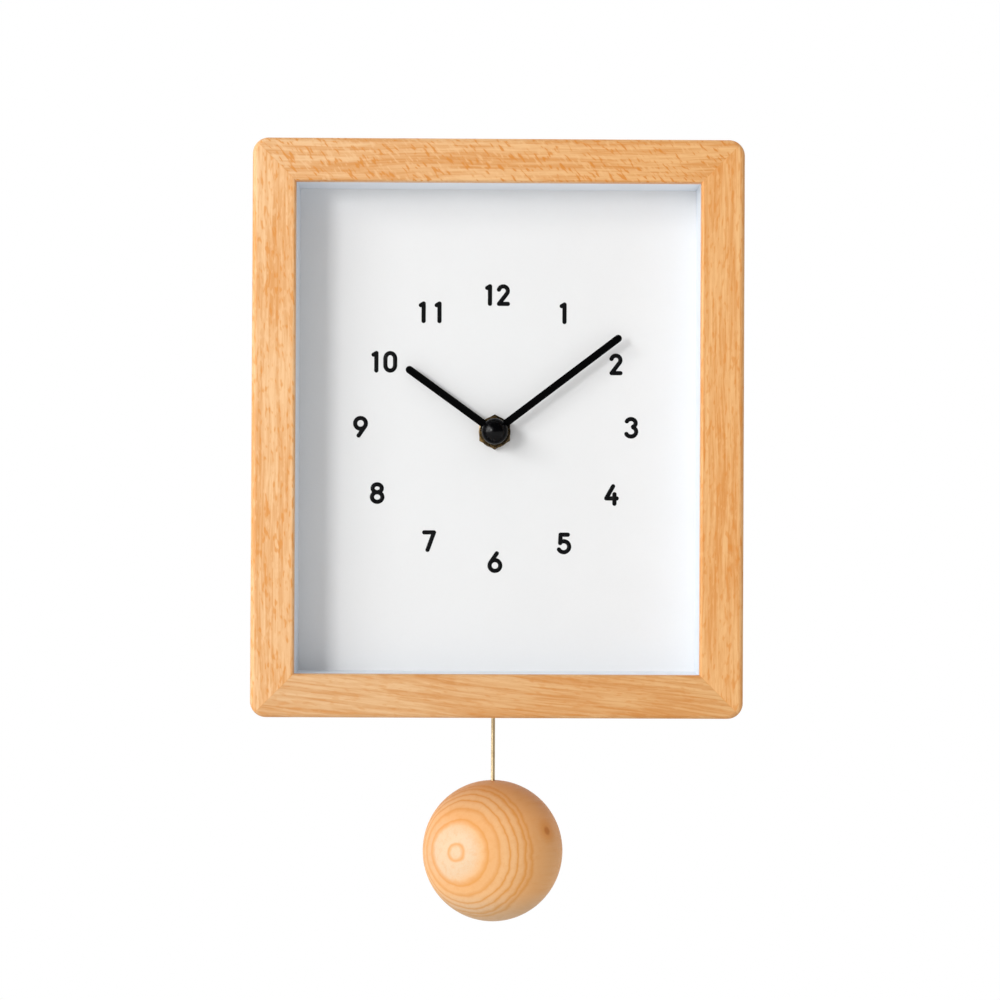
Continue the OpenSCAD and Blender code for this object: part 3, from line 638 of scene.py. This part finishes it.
def screw_tree():
    """Countersunk screws at the points of a mesh, each with a cross cut into its head."""
    graph, given = geometry_tree(
        "cross_screws", Places="Geometry", Screw="Object", Recess_Width="Float",
        Recess_Reach="Float", Recess_Depth="Float", Metal="Material")
    body = graph.node("GeometryNodeObjectInfo", Object=given["Screw"])
    cut = graph.node("GeometryNodeMeshBoolean", {"operation": "DIFFERENCE", "solver": "EXACT"})
    graph.feed(cut.inputs["Mesh 1"], body.outputs["Geometry"])
    # Two crossed bars, half sunk in the head
    twice = graph.times(given["Recess Depth"], 2.0)
    for long, tall in (("Recess Reach", "Recess Width"), ("Recess Width", "Recess Reach")):
        size = graph.node("ShaderNodeCombineXYZ", X=given[long], Y=twice, Z=given[tall])
        graph.feed(cut.inputs["Mesh 2"], graph.shape("MeshCube", Size=size.outputs[0]))
    screws = graph.shape("InstanceOnPoints", Points=given["Places"], Instance=cut.outputs[0])
    return close_tree(graph, screws, given["Metal"])


def stand_up(mesh, y):
    """Turns a mesh drawn flat in X and Y to face the front, around the hands' axis."""
    mesh.transform(Matrix.Translation((0, y, MIDDLE_Z)) @ Matrix.Rotation(math.radians(90), 4, "X"))


class CLOCK_OT_wooden_frame(bpy.types.Operator):
    """Finish the four mitred rails and the four battens in wood"""
    bl_idname = "clock.wooden_frame"
    bl_label = "Wooden frame"

    # Each board's turn in degrees, which lays the grain along it, its place in the tree in
    # metres, the flecks' slant in degrees, the share of flecks and the board's tone
    rails = {
        "frame_left_rail": (0, (0.31, 0.17, 0.05), 4, 0.8, 1.0),
        "frame_right_rail": (0, (0.12, 0.29, 0.46), -3, 0.6, 1.0),
        "frame_top_rail": (90, (0.55, 0.08, 0.21), -48, 1.0, 0.95),
        "frame_bottom_rail": (83, (0.73, 0.36, 0.64), -3, 0.35, 0.88),
    }
    battens = {
        "batten_left": (0, (0.62, 0.44, 0.23), 0, 0.3, 1.0),
        "batten_right": (0, (0.91, 0.27, 0.38), 0, 0.3, 0.94),
        "batten_top": (90, (0.49, 0.15, 0.77), 0, 0.3, 0.97),
        "batten_bottom": (90, (0.83, 0.54, 0.35), 0, 0.3, 1.0),
    }

    def execute(self, context):
        colours = context.scene.clock_frame
        for name, board in self.rails.items():
            self.rail(name, board, colours, context.scene.clock_fixings.zinc)
        for name, board in self.battens.items():
            self.batten(name, board, colours)
        return {"FINISHED"}

    def board(self, wood, board, **inputs):
        turn, place, slant, flecks, tone = board
        across = (0, math.radians(turn), 0)
        return wood.skin("wood_grain", Vector=wood.turned(across, place),
                         Slant=math.radians(slant), Flecks=flecks, Tone=tone, **inputs)

    def rail(self, name, board, colours, zinc):
        """Clear lacquered wood, a little deeper in colour towards the right"""
        wood = Finish(name + "_wood", Specular_IOR_Level=0.35)
        grain = self.board(wood, board, Pale=colours.pale, Dark=colours.dark, Fleck=colours.fleck)
        joint = wood.skin("mitre_joint")
        across = wood.ramp(wood.split(wood.place)[0], -HALF_WIDTH, HALF_WIDTH)
        shade = wood.tint(across, grain["Color"], colours.drift)
        shade = wood.mix(wood.times(joint["Seam"], 0.2), shade, colours.fleck)
        shade = wood.mix(joint["Nail"], shade, zinc)
        rough = wood.minus(grain["Roughness"], wood.times(joint["Nail"], 0.1))
        height = wood.minus(grain["Height"], wood.times(joint["Seam"], 0.3))
        dress(wood.wear(shade, rough, joint["Nail"], height, 0.012 * MM), name)

    def batten(self, name, board, colours):
        """Raw softwood with a coarse, dry surface"""
        wood = Finish(name + "_wood", Specular_IOR_Level=0.25)
        grain = self.board(wood, board, Pale=colours.batten, Fleck=colours.fleck,
                           Dark=darker(colours.batten, 0.8, 0.7, 0.6))
        rough = wood.plus(grain["Roughness"], 0.2)
        dress(wood.wear(grain["Color"], rough, None, grain["Height"], 0.12 * MM), name)


class CLOCK_OT_white_recess(bpy.types.Operator):
    """Finish the liner strips and the dial panel, whose back is bare hardboard"""
    bl_idname = "clock.white_recess"
    bl_label = "White recess"

    def execute(self, context):
        colours = context.scene.clock_dial
        strip = Finish("liner_paint", Specular_IOR_Level=0.5, Roughness=0.30)
        skin = strip.skin("moulded_skin", Base=colours.liner, Stipple=0.2, Variation=0.02)
        dress(strip.wear(skin["Color"]), "liner_top", "liner_bottom", "liner_left", "liner_right")
        self.panel(colours.face)
        return {"FINISHED"}

    def panel(self, paint):
        """White satin paint, and felted brown fibres on the back"""
        dial = Finish("dial_paint", Specular_IOR_Level=0.4)
        face = dial.skin("moulded_skin", Base=paint, Level=0.36, Stipple=1.4, Variation=0.012)
        at = dial.scaled(dial.place)
        fibre = dial.noise(at, (1.1, 1.1, 1.1), 5.0)
        clump = dial.noise(at, (0.16, 0.16, 0.16), 3.0)
        board = dial.mix(
            dial.ramp(fibre, 0.38, 0.66), (0.175, 0.098, 0.045, 1.0), (0.37, 0.225, 0.115, 1.0))
        board = dial.mix(dial.ramp(clump, 0.40, 0.70, 0.0, 0.3), board, (0.20, 0.11, 0.05, 1.0))
        bare_depth = 0.2 * MM
        bare = dial.math("GREATER_THAN", dial.split(dial.place)[1], DIAL_BACK - bare_depth)
        shade = dial.mix(bare, face["Color"], board)
        rough = dial.plus(face["Roughness"], dial.times(bare, 0.4))
        height = dial.plus(face["Height"], dial.times(dial.times(bare, fibre), 60.0))
        dress(dial.wear(shade, rough, None, height, 0.002 * MM), "dial_panel")


class CLOCK_OT_dial_numerals(bpy.types.Operator):
    """Print the twelve hours on the dial"""
    bl_idname = "clock.dial_numerals"
    bl_label = "Dial numerals"

    def execute(self, context):
        sizes = context.scene.clock_dial
        ink = moulded("numeral_ink", relief=0.005 * MM, specular=0.1, Base=sizes.ink,
                      Level=0.45, Stipple=3.0, Variation=0.25)
        mesh = grow("hour_numerals", numeral_skeleton(sizes), numeral_tree(),
                    Stroke=sizes.stroke, Thickness=sizes.ink_thickness, Ink=ink)
        # A tenth of the ink's thickness is sunk in the dial, so that no gap shows
        stand_up(mesh, DIAL_FACE - 0.4 * sizes.ink_thickness)
        piece("hour_numerals", mesh, ink)
        return {"FINISHED"}


class CLOCK_OT_hands_and_nut(bpy.types.Operator):
    """Finish the hands, their ball cap, the nut, the washers and the arbor"""
    bl_idname = "clock.hands_and_nut"
    bl_label = "Hands and nut"

    def execute(self, context):
        colours = context.scene.clock_hands
        moulded("hand_paint", ("minute_hand", "hour_hand"), relief=0.004 * MM, specular=0.03,
                Base=colours.paint, Level=0.50, Stipple=5.0, Variation=0.3)
        # The nut and its washer are brass darkened nearly to black: painted shade for how dark they
        # sit under the cap and the hands
        metal("nut_brass", ("hex_nut", "brass_washer"), Base=(0.055, 0.042, 0.026, 1.0),
              Stain=colours.brass, Brush=(2.0, 2.0, 2.0), Level=0.24)
        moulded("washer_rubber", ("rubber_washer",), relief=0.03 * MM, specular=0.3,
                Base=(0.02, 0.02, 0.02, 1.0), Level=0.75, Stipple=3.0)
        metal("arbor_steel", ("minute_arbor",), Base=(0.58, 0.57, 0.55, 1.0),
              Stain=(0.35, 0.34, 0.33, 1.0), Brush=(0.4, 9.0, 0.4), Level=0.24)
        self.cap(colours.cap)
        return {"FINISHED"}

    def cap(self, black):
        """Polished at the front, and dull around the rim, where the dial would show"""
        gloss = Finish("cap_gloss", Specular_IOR_Level=0.15)
        skin = gloss.skin("moulded_skin", Base=black, Level=0.20, Stipple=0.8, Variation=0.2)
        facing = gloss.node("ShaderNodeLayerWeight", Blend=0.5).outputs["Facing"]
        gloss.fill(gloss.shader, Specular_IOR_Level=gloss.ramp(facing, 0.20, 0.42, 0.15, 0.02))
        dress(gloss.wear(skin["Color"], skin["Roughness"]), "hand_cap")


class CLOCK_OT_wall_hanger(bpy.types.Operator):
    """Finish the keyhole plate and fit its two cross-head screws"""
    bl_idname = "clock.wall_hanger"
    bl_label = "Wall hanger"

    def execute(self, context):
        sizes = context.scene.clock_fixings
        zinc = metal("hanger_zinc", ("hanger_plate", "hanger_screws"), relief=0.02 * MM,
                     Base=sizes.zinc, Stain=(0.42, 0.43, 0.45, 1.0), Brush=(0.25, 3.0, 3.0),
                     Level=0.34)
        # Radii of the head, the shank and the blunt tip, then lengths along the screw
        head, shank, blunt = 2.6 * MM, 1.25 * MM, 0.35 * MM
        rim, cone, point, chamfer = 0.12 * MM, 1.4 * MM, 2.5 * MM, 0.2 * MM
        low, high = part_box("hanger_screws")
        tip = low.y
        body = lathe("screw_body", (
            (0, 0), (head, 0), (head, -rim), (shank, -cone), (shank, tip + point),
            (blunt, tip + chamfer), (0, tip)))
        pattern = put("screw_pattern", body)
        height = (low.z + high.z) / 2
        places = new_mesh("screw_places", [
            (low.x + head, 0, height), (high.x - head, 0, height)])
        mesh = grow("hanger_screw_pair", places, screw_tree(), Screw=pattern, Metal=zinc,
                    Recess_Width=sizes.recess_width, Recess_Reach=2.9 * MM,
                    Recess_Depth=sizes.recess_depth)
        bpy.data.objects.remove(pattern)
        made = piece("hanger_screw_pair", mesh, zinc)
        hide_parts("hanger_screws")
        return {"FINISHED"}


class CLOCK_OT_batten_brads(bpy.types.Operator):
    """Drive a row of brads round the battens"""
    bl_idname = "clock.batten_brads"
    bl_label = "Batten brads"

    def execute(self, context):
        sizes = context.scene.clock_fixings
        steel = metal("brad_steel", Base=sizes.zinc, Stain=(0.30, 0.29, 0.28, 1.0),
                      Brush=(4.0, 4.0, 4.0), Level=0.38)
        # The row runs along the middle of the battens
        low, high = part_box("batten_top")
        batten_width = high.z - low.z
        mesh = grow("batten_brads", new_mesh("brad_seed", [(0, 0, 0)]), brad_tree(),
                    Width=high.x - low.x - batten_width,
                    Height=2 * (high.z - MIDDLE_Z) - batten_width, Count=sizes.brad_count,
                    Head_Radius=sizes.brad_radius, Head_Height=sizes.brad_height, Metal=steel)
        # The heads narrow towards the back, so they are mirrored before they are stood up
        mesh.transform(Matrix.Scale(-1, 4, (0, 0, 1)))
        mesh.flip_normals()
        stand_up(mesh, BATTEN_BACK + sizes.brad_height)
        piece("batten_brads", mesh, steel)
        return {"FINISHED"}


class CLOCK_OT_movement(bpy.types.Operator):
    """Finish the movement: its case, train, motor, circuit, battery and contacts"""
    bl_idname = "clock.movement"
    bl_label = "Movement"

    def execute(self, context):
        self.case(context.scene.clock_hands.brass)
        self.train()
        metal("bright_steel",
              ("stator", "quartz_crystal", "contact_plus", "contact_minus", "pivot_pin"),
              Base=context.scene.clock_fixings.zinc, Stain=(0.45, 0.44, 0.43, 1.0),
              Brush=(0.5, 0.5, 4.0), Level=0.26)
        self.winding("drive_winding", "drive_coil", 1)
        self.winding("motor_winding", "motor_coil", 0)
        self.circuit()
        self.cell()
        return {"FINISHED"}

    def case(self, brass):
        """Black moulded case, whose threaded neck is a brass bush"""
        case = Finish("case_moulding", Specular_IOR_Level=0.4)
        skin = case.skin("moulded_skin", Base=(0.022, 0.022, 0.024, 1.0), Level=0.50, Stipple=5.0,
                         Variation=0.25)
        neck_start, pitch = DIAL_BACK - 0.3 * MM, 0.75 * MM
        depth = case.split(case.place)[1]
        neck = case.math("LESS_THAN", depth, neck_start)
        shade = case.mix(neck, skin["Color"], brass)
        rough = case.minus(skin["Roughness"], case.times(neck, 0.2))
        thread = case.times(case.wave(depth, pitch), neck)
        height = case.plus(skin["Height"], case.times(thread, 6.0))
        dress(case.wear(shade, rough, neck, height, 0.02 * MM), "movement_case")
        moulded("cover_moulding", ("movement_cover", "setting_knob"), relief=0.02 * MM,
                specular=0.4, Base=(0.026, 0.026, 0.028, 1.0), Level=0.46, Stipple=5.0,
                Variation=0.25)

    def train(self):
        """Natural acetal wheels and plate, which let a little light in, and ferrite magnets"""
        acetal = Finish("gear_acetal", Specular_IOR_Level=0.45, Subsurface_Weight=0.12,
                        Subsurface_Scale=0.8 * MM)
        acetal.coat("moulded_skin", 0.005 * MM, Base=(0.80, 0.79, 0.74, 1.0), Level=0.36,
                    Stipple=2.0, Variation=0.05)
        dress(acetal.material, "middle_plate", "hour_wheel", "minute_wheel", "centre_wheel",
              "third_wheel", "seconds_wheel", "intermediate_wheel", "pendulum_lever")
        metal("rotor_ferrite", ("rotor", "pendulum_magnet"), metallic=0.4,
              Base=(0.10, 0.10, 0.11, 1.0), Stain=(0.05, 0.05, 0.05, 1.0),
              Brush=(2.5, 2.5, 2.5), Level=0.42)

    def winding(self, name, node, along):
        """Fine copper wire between the flanges of a bobbin whose axis is X (0) or Y (1)"""
        wire_pitch, flange_thickness = 0.12 * MM, 0.55 * MM
        low, high = (end[along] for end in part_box(node))
        middle, half = (low + high) / 2, (high - low) / 2
        wire = Finish(name, Metallic=0.6)
        skin = wire.skin("metal_skin", Base=(0.48, 0.17, 0.06, 1.0), Stain=(0.28, 0.09, 0.03, 1.0),
                         Brush=(0.6, 0.6, 0.6), Level=0.30)
        lane = wire.split(wire.place)[along]
        flange = wire.math("ABSOLUTE", wire.minus(lane, middle))
        flange = wire.math("GREATER_THAN", flange, half - flange_thickness)
        shade = wire.mix(flange, skin["Color"], (0.75, 0.73, 0.66, 1.0))
        bare = wire.times(wire.minus(1.0, flange), 0.6)
        turns = wire.wave(lane, wire_pitch)
        dress(wire.wear(shade, skin["Roughness"], bare, turns, 0.03 * MM), node)

    def circuit(self):
        """Green solder mask over slanting tracks, with a black drop over the chip"""
        track_pitch, board_thickness = 2.856 * MM, 1.02 * MM
        board = Finish("circuit_mask", Specular_IOR_Level=0.5)
        skin = board.skin("moulded_skin", Base=(0.025, 0.15, 0.06, 1.0), Level=0.30, Stipple=1.0)
        x, y, z = board.split(board.place)
        track = board.ramp(board.wave(board.plus(x, z), track_pitch), 0.3, 0.6, 0.0, 0.6)
        shade = board.mix(track, skin["Color"], (0.05, 0.24, 0.09, 1.0))
        drop = board.math("LESS_THAN", y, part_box("circuit_board")[1].y - board_thickness)
        shade = board.mix(drop, shade, (0.012, 0.012, 0.012, 1.0))
        dress(board.wear(shade, skin["Roughness"], None, skin["Height"], 0.01 * MM),
              "circuit_board")

    def cell(self):
        """A grey sleeve with a silver band at the plus end, and bare steel at both ends"""
        band_height, foot_height, cap_height = 15 * MM, 0.95 * MM, 1.6 * MM
        low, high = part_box("battery")
        sleeve = Finish("cell_sleeve", Specular_IOR_Level=0.5, Coat_Weight=0.3, Coat_Roughness=0.12)
        skin = sleeve.skin("moulded_skin", Base=(0.07, 0.08, 0.09, 1.0), Level=0.28, Stipple=1.5)
        level = sleeve.split(sleeve.place)[2]
        band = sleeve.math("GREATER_THAN", level, high.z - band_height)
        shade = sleeve.mix(band, skin["Color"], (0.48, 0.49, 0.50, 1.0))
        foot = sleeve.math("LESS_THAN", level, low.z + foot_height)
        cap = sleeve.math("GREATER_THAN", level, high.z - cap_height)
        bare = sleeve.math("MAXIMUM", foot, cap)
        shade = sleeve.mix(bare, shade, (0.62, 0.62, 0.60, 1.0))
        shine = sleeve.math("MAXIMUM", bare, sleeve.times(band, 0.3))
        dress(sleeve.wear(shade, skin["Roughness"], shine, skin["Height"], 0.005 * MM), "battery")


class CLOCK_OT_pendulum(bpy.types.Operator):
    """Finish the pendulum's brass rod and its turned ball with growth rings"""
    bl_idname = "clock.pendulum"
    bl_label = "Pendulum"

    # Where the ball's pith comes out, and where its small knot is, from the ball's centre
    pith = Vector((-0.518, -0.851, 0.088)).normalized()
    knot = Vector((0.763, -0.540, 0.356)).normalized()

    def execute(self, context):
        colours = context.scene.clock_pendulum
        brass = Finish("rod_brass", Metallic=1.0)
        skin = brass.skin("metal_skin", Base=colours.rod, Brush=(1.5, 1.5, 0.06), Level=0.34,
                          Stain=darker(colours.rod, 0.85, 0.82, 0.78))
        dress(brass.wear(skin["Color"], skin["Roughness"]), "pendulum_rod")
        self.ball(colours)
        return {"FINISHED"}

    def ball(self, colours):
        """Softwood cut across the pith. Lengths are in radii of the ball unless said otherwise"""
        wood = Finish("ball_wood", Specular_IOR_Level=0.15)
        spot = wood.vector("SUBTRACT", wood.place, tuple(BALL_CENTRE))
        spot = wood.scaled(spot, 1 / BALL_RADIUS)
        # Distance from the pith, made a little uneven
        out = wood.vector("LENGTH", wood.vector("CROSS_PRODUCT", spot, tuple(self.pith)))
        swell = wood.noise(spot, (1.4, 1.4, 1.4), 1.0)
        ripple = wood.noise(spot, (7.0, 7.0, 7.0))
        out = wood.plus(out, wood.ramp(swell, 0.25, 0.75, -0.014, 0.014))
        out = wood.plus(out, wood.ramp(ripple, 0.2, 0.8, -0.009, 0.009))
        rings = wood.node("ShaderNodeValToRGB", Fac=out)
        self.paint_rings(rings.color_ramp)
        # Millimetres, with Z along the pith
        turn = self.pith.rotation_difference(Vector((0, 0, 1))).to_euler()
        grain = wood.scaled(wood.turned(tuple(turn)))
        fibre = wood.noise(grain, (2.0, 2.0, 0.10), 3.0)
        streak = wood.noise(grain, (0.5, 0.5, 0.03))
        # The core's pale wood reaches further out on its left side: painted light, for the side
        # that the lamps light
        lean = wood.times(wood.vector("DOT_PRODUCT", spot, (0.85, -0.52, 0.0)), 0.25)
        core = wood.ramp(wood.plus(out, lean), 0.26, 0.54)
        shade = wood.mix(core, colours.core, colours.pale)
        shade = wood.mix(rings.outputs[0], shade, colours.ring)
        shade = wood.mix(wood.ramp(fibre, 0.45, 0.80, 0.0, 0.16), shade, colours.ring)
        shade = wood.mix(wood.ramp(streak, 0.45, 0.75, 0.0, 0.18), shade, colours.ring)
        apart = wood.vector("DISTANCE", spot, tuple(self.knot))
        shade = wood.mix(wood.ramp(apart, 0.24, 0.06, 0.0, 0.8), shade, colours.ring)
        shade = wood.mix(wood.ramp(apart, 0.085, 0.030, 0.0, 0.8), shade, colours.knot)
        # Painted shade: browner and darker towards the top, where the frame above shades the ball,
        # and greyer towards the bottom, where little light comes up from below
        rise = wood.split(spot)[2]
        shade = wood.tint(wood.ramp(rise, 0.45, 0.95), shade, (0.83, 0.90, 1.00, 1.0))
        shade = wood.tint(wood.ramp(rise, -0.40, -0.90), shade, (0.79, 0.96, 1.32, 1.0))
        rough = wood.ramp(fibre, 0.3, 0.7, 0.42, 0.54)
        height = wood.plus(fibre, wood.times(rings.outputs[0], 0.4))
        dress(wood.wear(shade, rough, None, height, 0.01 * MM), "pendulum_ball")

    def paint_rings(self, ramp):
        """Late wood as dark lines, each sharp on the outside and soft on the inside"""
        stops = [(0.0, 0.05), (0.07, 0.08), (0.118, 0.80), (0.15, 0.05), (0.22, 0.0), (0.38, 0.05),
                 (0.458, 0.85), (0.48, 0.30), (0.55, 0.22), (0.60, 0.75), (0.622, 0.12),
                 (0.66, 0.0), (0.69, 0.15), (0.708, 1.0), (0.726, 0.10), (0.75, 0.0),
                 (0.772, 0.20), (0.79, 1.0), (0.808, 0.10), (0.835, 0.10), (0.862, 1.0),
                 (0.878, 0.25), (0.902, 0.90), (0.92, 0.35), (0.95, 0.40), (1.0, 0.35)]
        ramp.interpolation = "LINEAR"
        for index, (place, level) in enumerate(stops):
            stop = ramp.elements[index] if index < 2 else ramp.elements.new(place)
            stop.position = place
            stop.color = (level, level, level, 1.0)


class CLOCK_OT_studio_stage(bpy.types.Operator):
    """Set up the pale floor, the soft light, the white surroundings and the camera"""
    bl_idname = "clock.studio_stage"
    bl_label = "Studio stage"

    def execute(self, context):
        studio = context.scene.clock_studio
        self.floor(studio)
        self.world(context.scene, studio)
        self.lamp("soft_key", studio.key_power, size=(0.42, 0.50), side=31.5, rise=9)
        self.lamp("soft_fill", studio.fill_power, size=(0.90, 0.45), side=49, rise=21)
        self.camera(context.scene, studio)
        context.scene.view_settings.view_transform = "Standard"
        return {"FINISHED"}

    def floor(self, studio):
        """A pale floor that keeps the shadow and fades to white away from it"""
        half, low = 4.0, -studio.floor_drop
        mesh = new_mesh("studio_floor", [
            (-half, -half, low), (half, -half, low), (half, half, low), (-half, half, low)],
            (), [(0, 1, 2, 3)])
        floor = put("studio_floor", mesh)
        pale = Finish("floor_paper", Specular_IOR_Level=0.1)
        skin = pale.skin("moulded_skin", Base=(0.86, 0.86, 0.86, 1.0), Level=0.8, Stipple=0.4,
                         Variation=0.02)
        pale.wear(skin["Color"], skin["Roughness"])
        away = pale.vector("LENGTH", pale.vector("MULTIPLY", pale.place, (1.0, 1.0, 0.0)))
        share = pale.times(pale.ramp(away, 0.25, 0.50), self.seen(pale))
        glow = pale.node("ShaderNodeEmission", Color=(1.0, 1.0, 1.0, 1.0), Strength=1.0)
        blend = pale.numbered("ShaderNodeMixShader", None, (
            (0, share), (1, pale.shader.outputs[0]), (2, glow.outputs[0])))
        pale.fill(pale.tree.nodes["Material Output"], Surface=blend.outputs[0])
        mesh.materials.append(pale.material)

    def seen(self, graph):
        """1 for camera, glossy and transmission rays"""
        path = graph.node("ShaderNodeLightPath").outputs
        seen = graph.math("MAXIMUM", path["Is Camera Ray"], path["Is Glossy Ray"])
        return graph.math("MAXIMUM", seen, path["Is Transmission Ray"])

    def world(self, scene, studio):
        """White where it is seen, and a plain soft room around the clock"""
        world = bpy.data.worlds.new("studio_white")
        scene.world = world
        world.use_nodes = True
        graph = Graph(world.node_tree)
        x, y, z = graph.split(graph.node("ShaderNodeTexCoord").outputs["Generated"])
        wall = graph.ramp(y, -0.05, 0.30)
        # Even light for the surfaces: a grey room with a lighter ceiling and a lighter wall behind
        lit = graph.plus(graph.ramp(z, 0.25, 0.65, 0.35, 0.66), graph.times(wall, 0.21))
        # What polished surfaces show: the wall behind, a window on the left and little else
        window = graph.times(graph.ramp(x, -0.50, -0.78, 0.0, studio.window),
                             graph.ramp(graph.math("ABSOLUTE", z), 0.75, 0.45))
        window = graph.times(window, graph.minus(1.0, wall))
        shown = graph.math("MAXIMUM", graph.math("MAXIMUM", window, wall), 0.07)
        path = graph.node("ShaderNodeLightPath").outputs
        polished = graph.math("MAXIMUM", path["Is Glossy Ray"], path["Is Transmission Ray"])
        shade = graph.mix(polished, graph.grey(lit), graph.grey(shown))
        shade = graph.mix(path["Is Camera Ray"], shade, (1.0, 1.0, 1.0, 1.0))
        graph.fill(world.node_tree.nodes["Background"], Color=shade, Strength=1.0)

    def lamp(self, name, power, size, side, rise):
        """One soft light on the left of the clock, its size in metres and its place in degrees"""
        light = bpy.data.lights.new(name, "AREA")
        light.shape = "RECTANGLE"
        light.size, light.size_y = size
        light.energy = power
        lamp = put(name, light)
        centre = Vector((0, DIAL_FACE, MIDDLE_Z))
        side, rise, distance = math.radians(side), math.radians(rise), 2.0
        lamp.location = centre + distance * Vector((
            -math.sin(side) * math.cos(rise), -math.cos(side) * math.cos(rise), math.sin(rise)))
        lamp.rotation_euler = (centre - lamp.location).to_track_quat("-Z", "Y").to_euler()

    def camera(self, scene, studio):
        """The photograph's point of view"""
        lens = bpy.data.cameras.new("photo_camera")
        lens.lens = studio.lens
        lens.sensor_width = 36.0
        lens.clip_start = 0.01
        lens.clip_end = 20.0
        camera = put("photo_camera", lens)
        place = Vector((-5.14, -858.0, -113.3)) * MM
        # The small turns, in radians, by which the view misses the clock's own axes
        yaw, pitch, roll = 0.0075, 0.0069, 0.0046
        ahead = Vector((
            math.sin(yaw) * math.cos(pitch), math.cos(yaw) * math.cos(pitch), math.sin(pitch)))
        right = Vector((math.cos(yaw), -math.sin(yaw), 0.0))
        up = right.cross(ahead)
        axis_x = right * math.cos(roll) + up * math.sin(roll)
        axis_y = up * math.cos(roll) - right * math.sin(roll)
        turn = Matrix((axis_x, axis_y, -ahead)).transposed().to_4x4()
        camera.matrix_world = Matrix.Translation(place) @ turn
        scene.camera = camera


class CLOCK_PT_parts(bpy.types.Panel):
    """Lists the clock's parts, each with its operators and its settings"""
    bl_idname = "CLOCK_PT_parts"
    bl_label = "Ball pendulum clock"
    bl_space_type = "VIEW_3D"
    bl_region_type = "UI"
    bl_category = "Clock"

    def draw(self, context):
        for name, (settings, *operators) in PARTS.items():
            box = self.layout.box()
            for operator in operators:
                box.operator(operator.bl_idname)
            for entry in settings.__annotations__:
                box.prop(getattr(context.scene, name), entry)


# The scene's settings by name, each with the operators that stand under it in the panel
PARTS = {
    "clock_frame": (FrameFinish, CLOCK_OT_wooden_frame),
    "clock_dial": (DialFinish, CLOCK_OT_white_recess, CLOCK_OT_dial_numerals),
    "clock_hands": (HandFinish, CLOCK_OT_hands_and_nut, CLOCK_OT_movement),
    "clock_fixings": (FixingSizes, CLOCK_OT_wall_hanger, CLOCK_OT_batten_brads),
    "clock_pendulum": (PendulumFinish, CLOCK_OT_pendulum),
    "clock_studio": (StudioStage, CLOCK_OT_studio_stage),
}
CLASSES = [cls for group_classes in PARTS.values() for cls in group_classes] + [CLOCK_PT_parts]


def register():
    for cls in CLASSES:
        bpy.utils.register_class(cls)
    for name, (settings, *_) in PARTS.items():
        setattr(bpy.types.Scene, name, PointerProperty(type=settings))


def unregister():
    for name in PARTS:
        delattr(bpy.types.Scene, name)
    for cls in reversed(CLASSES):
        bpy.utils.unregister_class(cls)


def main():
    register()
    bpy.ops.clock.wooden_frame()
    bpy.ops.clock.white_recess()
    bpy.ops.clock.dial_numerals()
    bpy.ops.clock.hands_and_nut()
    bpy.ops.clock.wall_hanger()
    bpy.ops.clock.batten_brads()
    bpy.ops.clock.movement()
    bpy.ops.clock.pendulum()
    bpy.ops.clock.studio_stage()


if __name__ == "__main__":
    main()
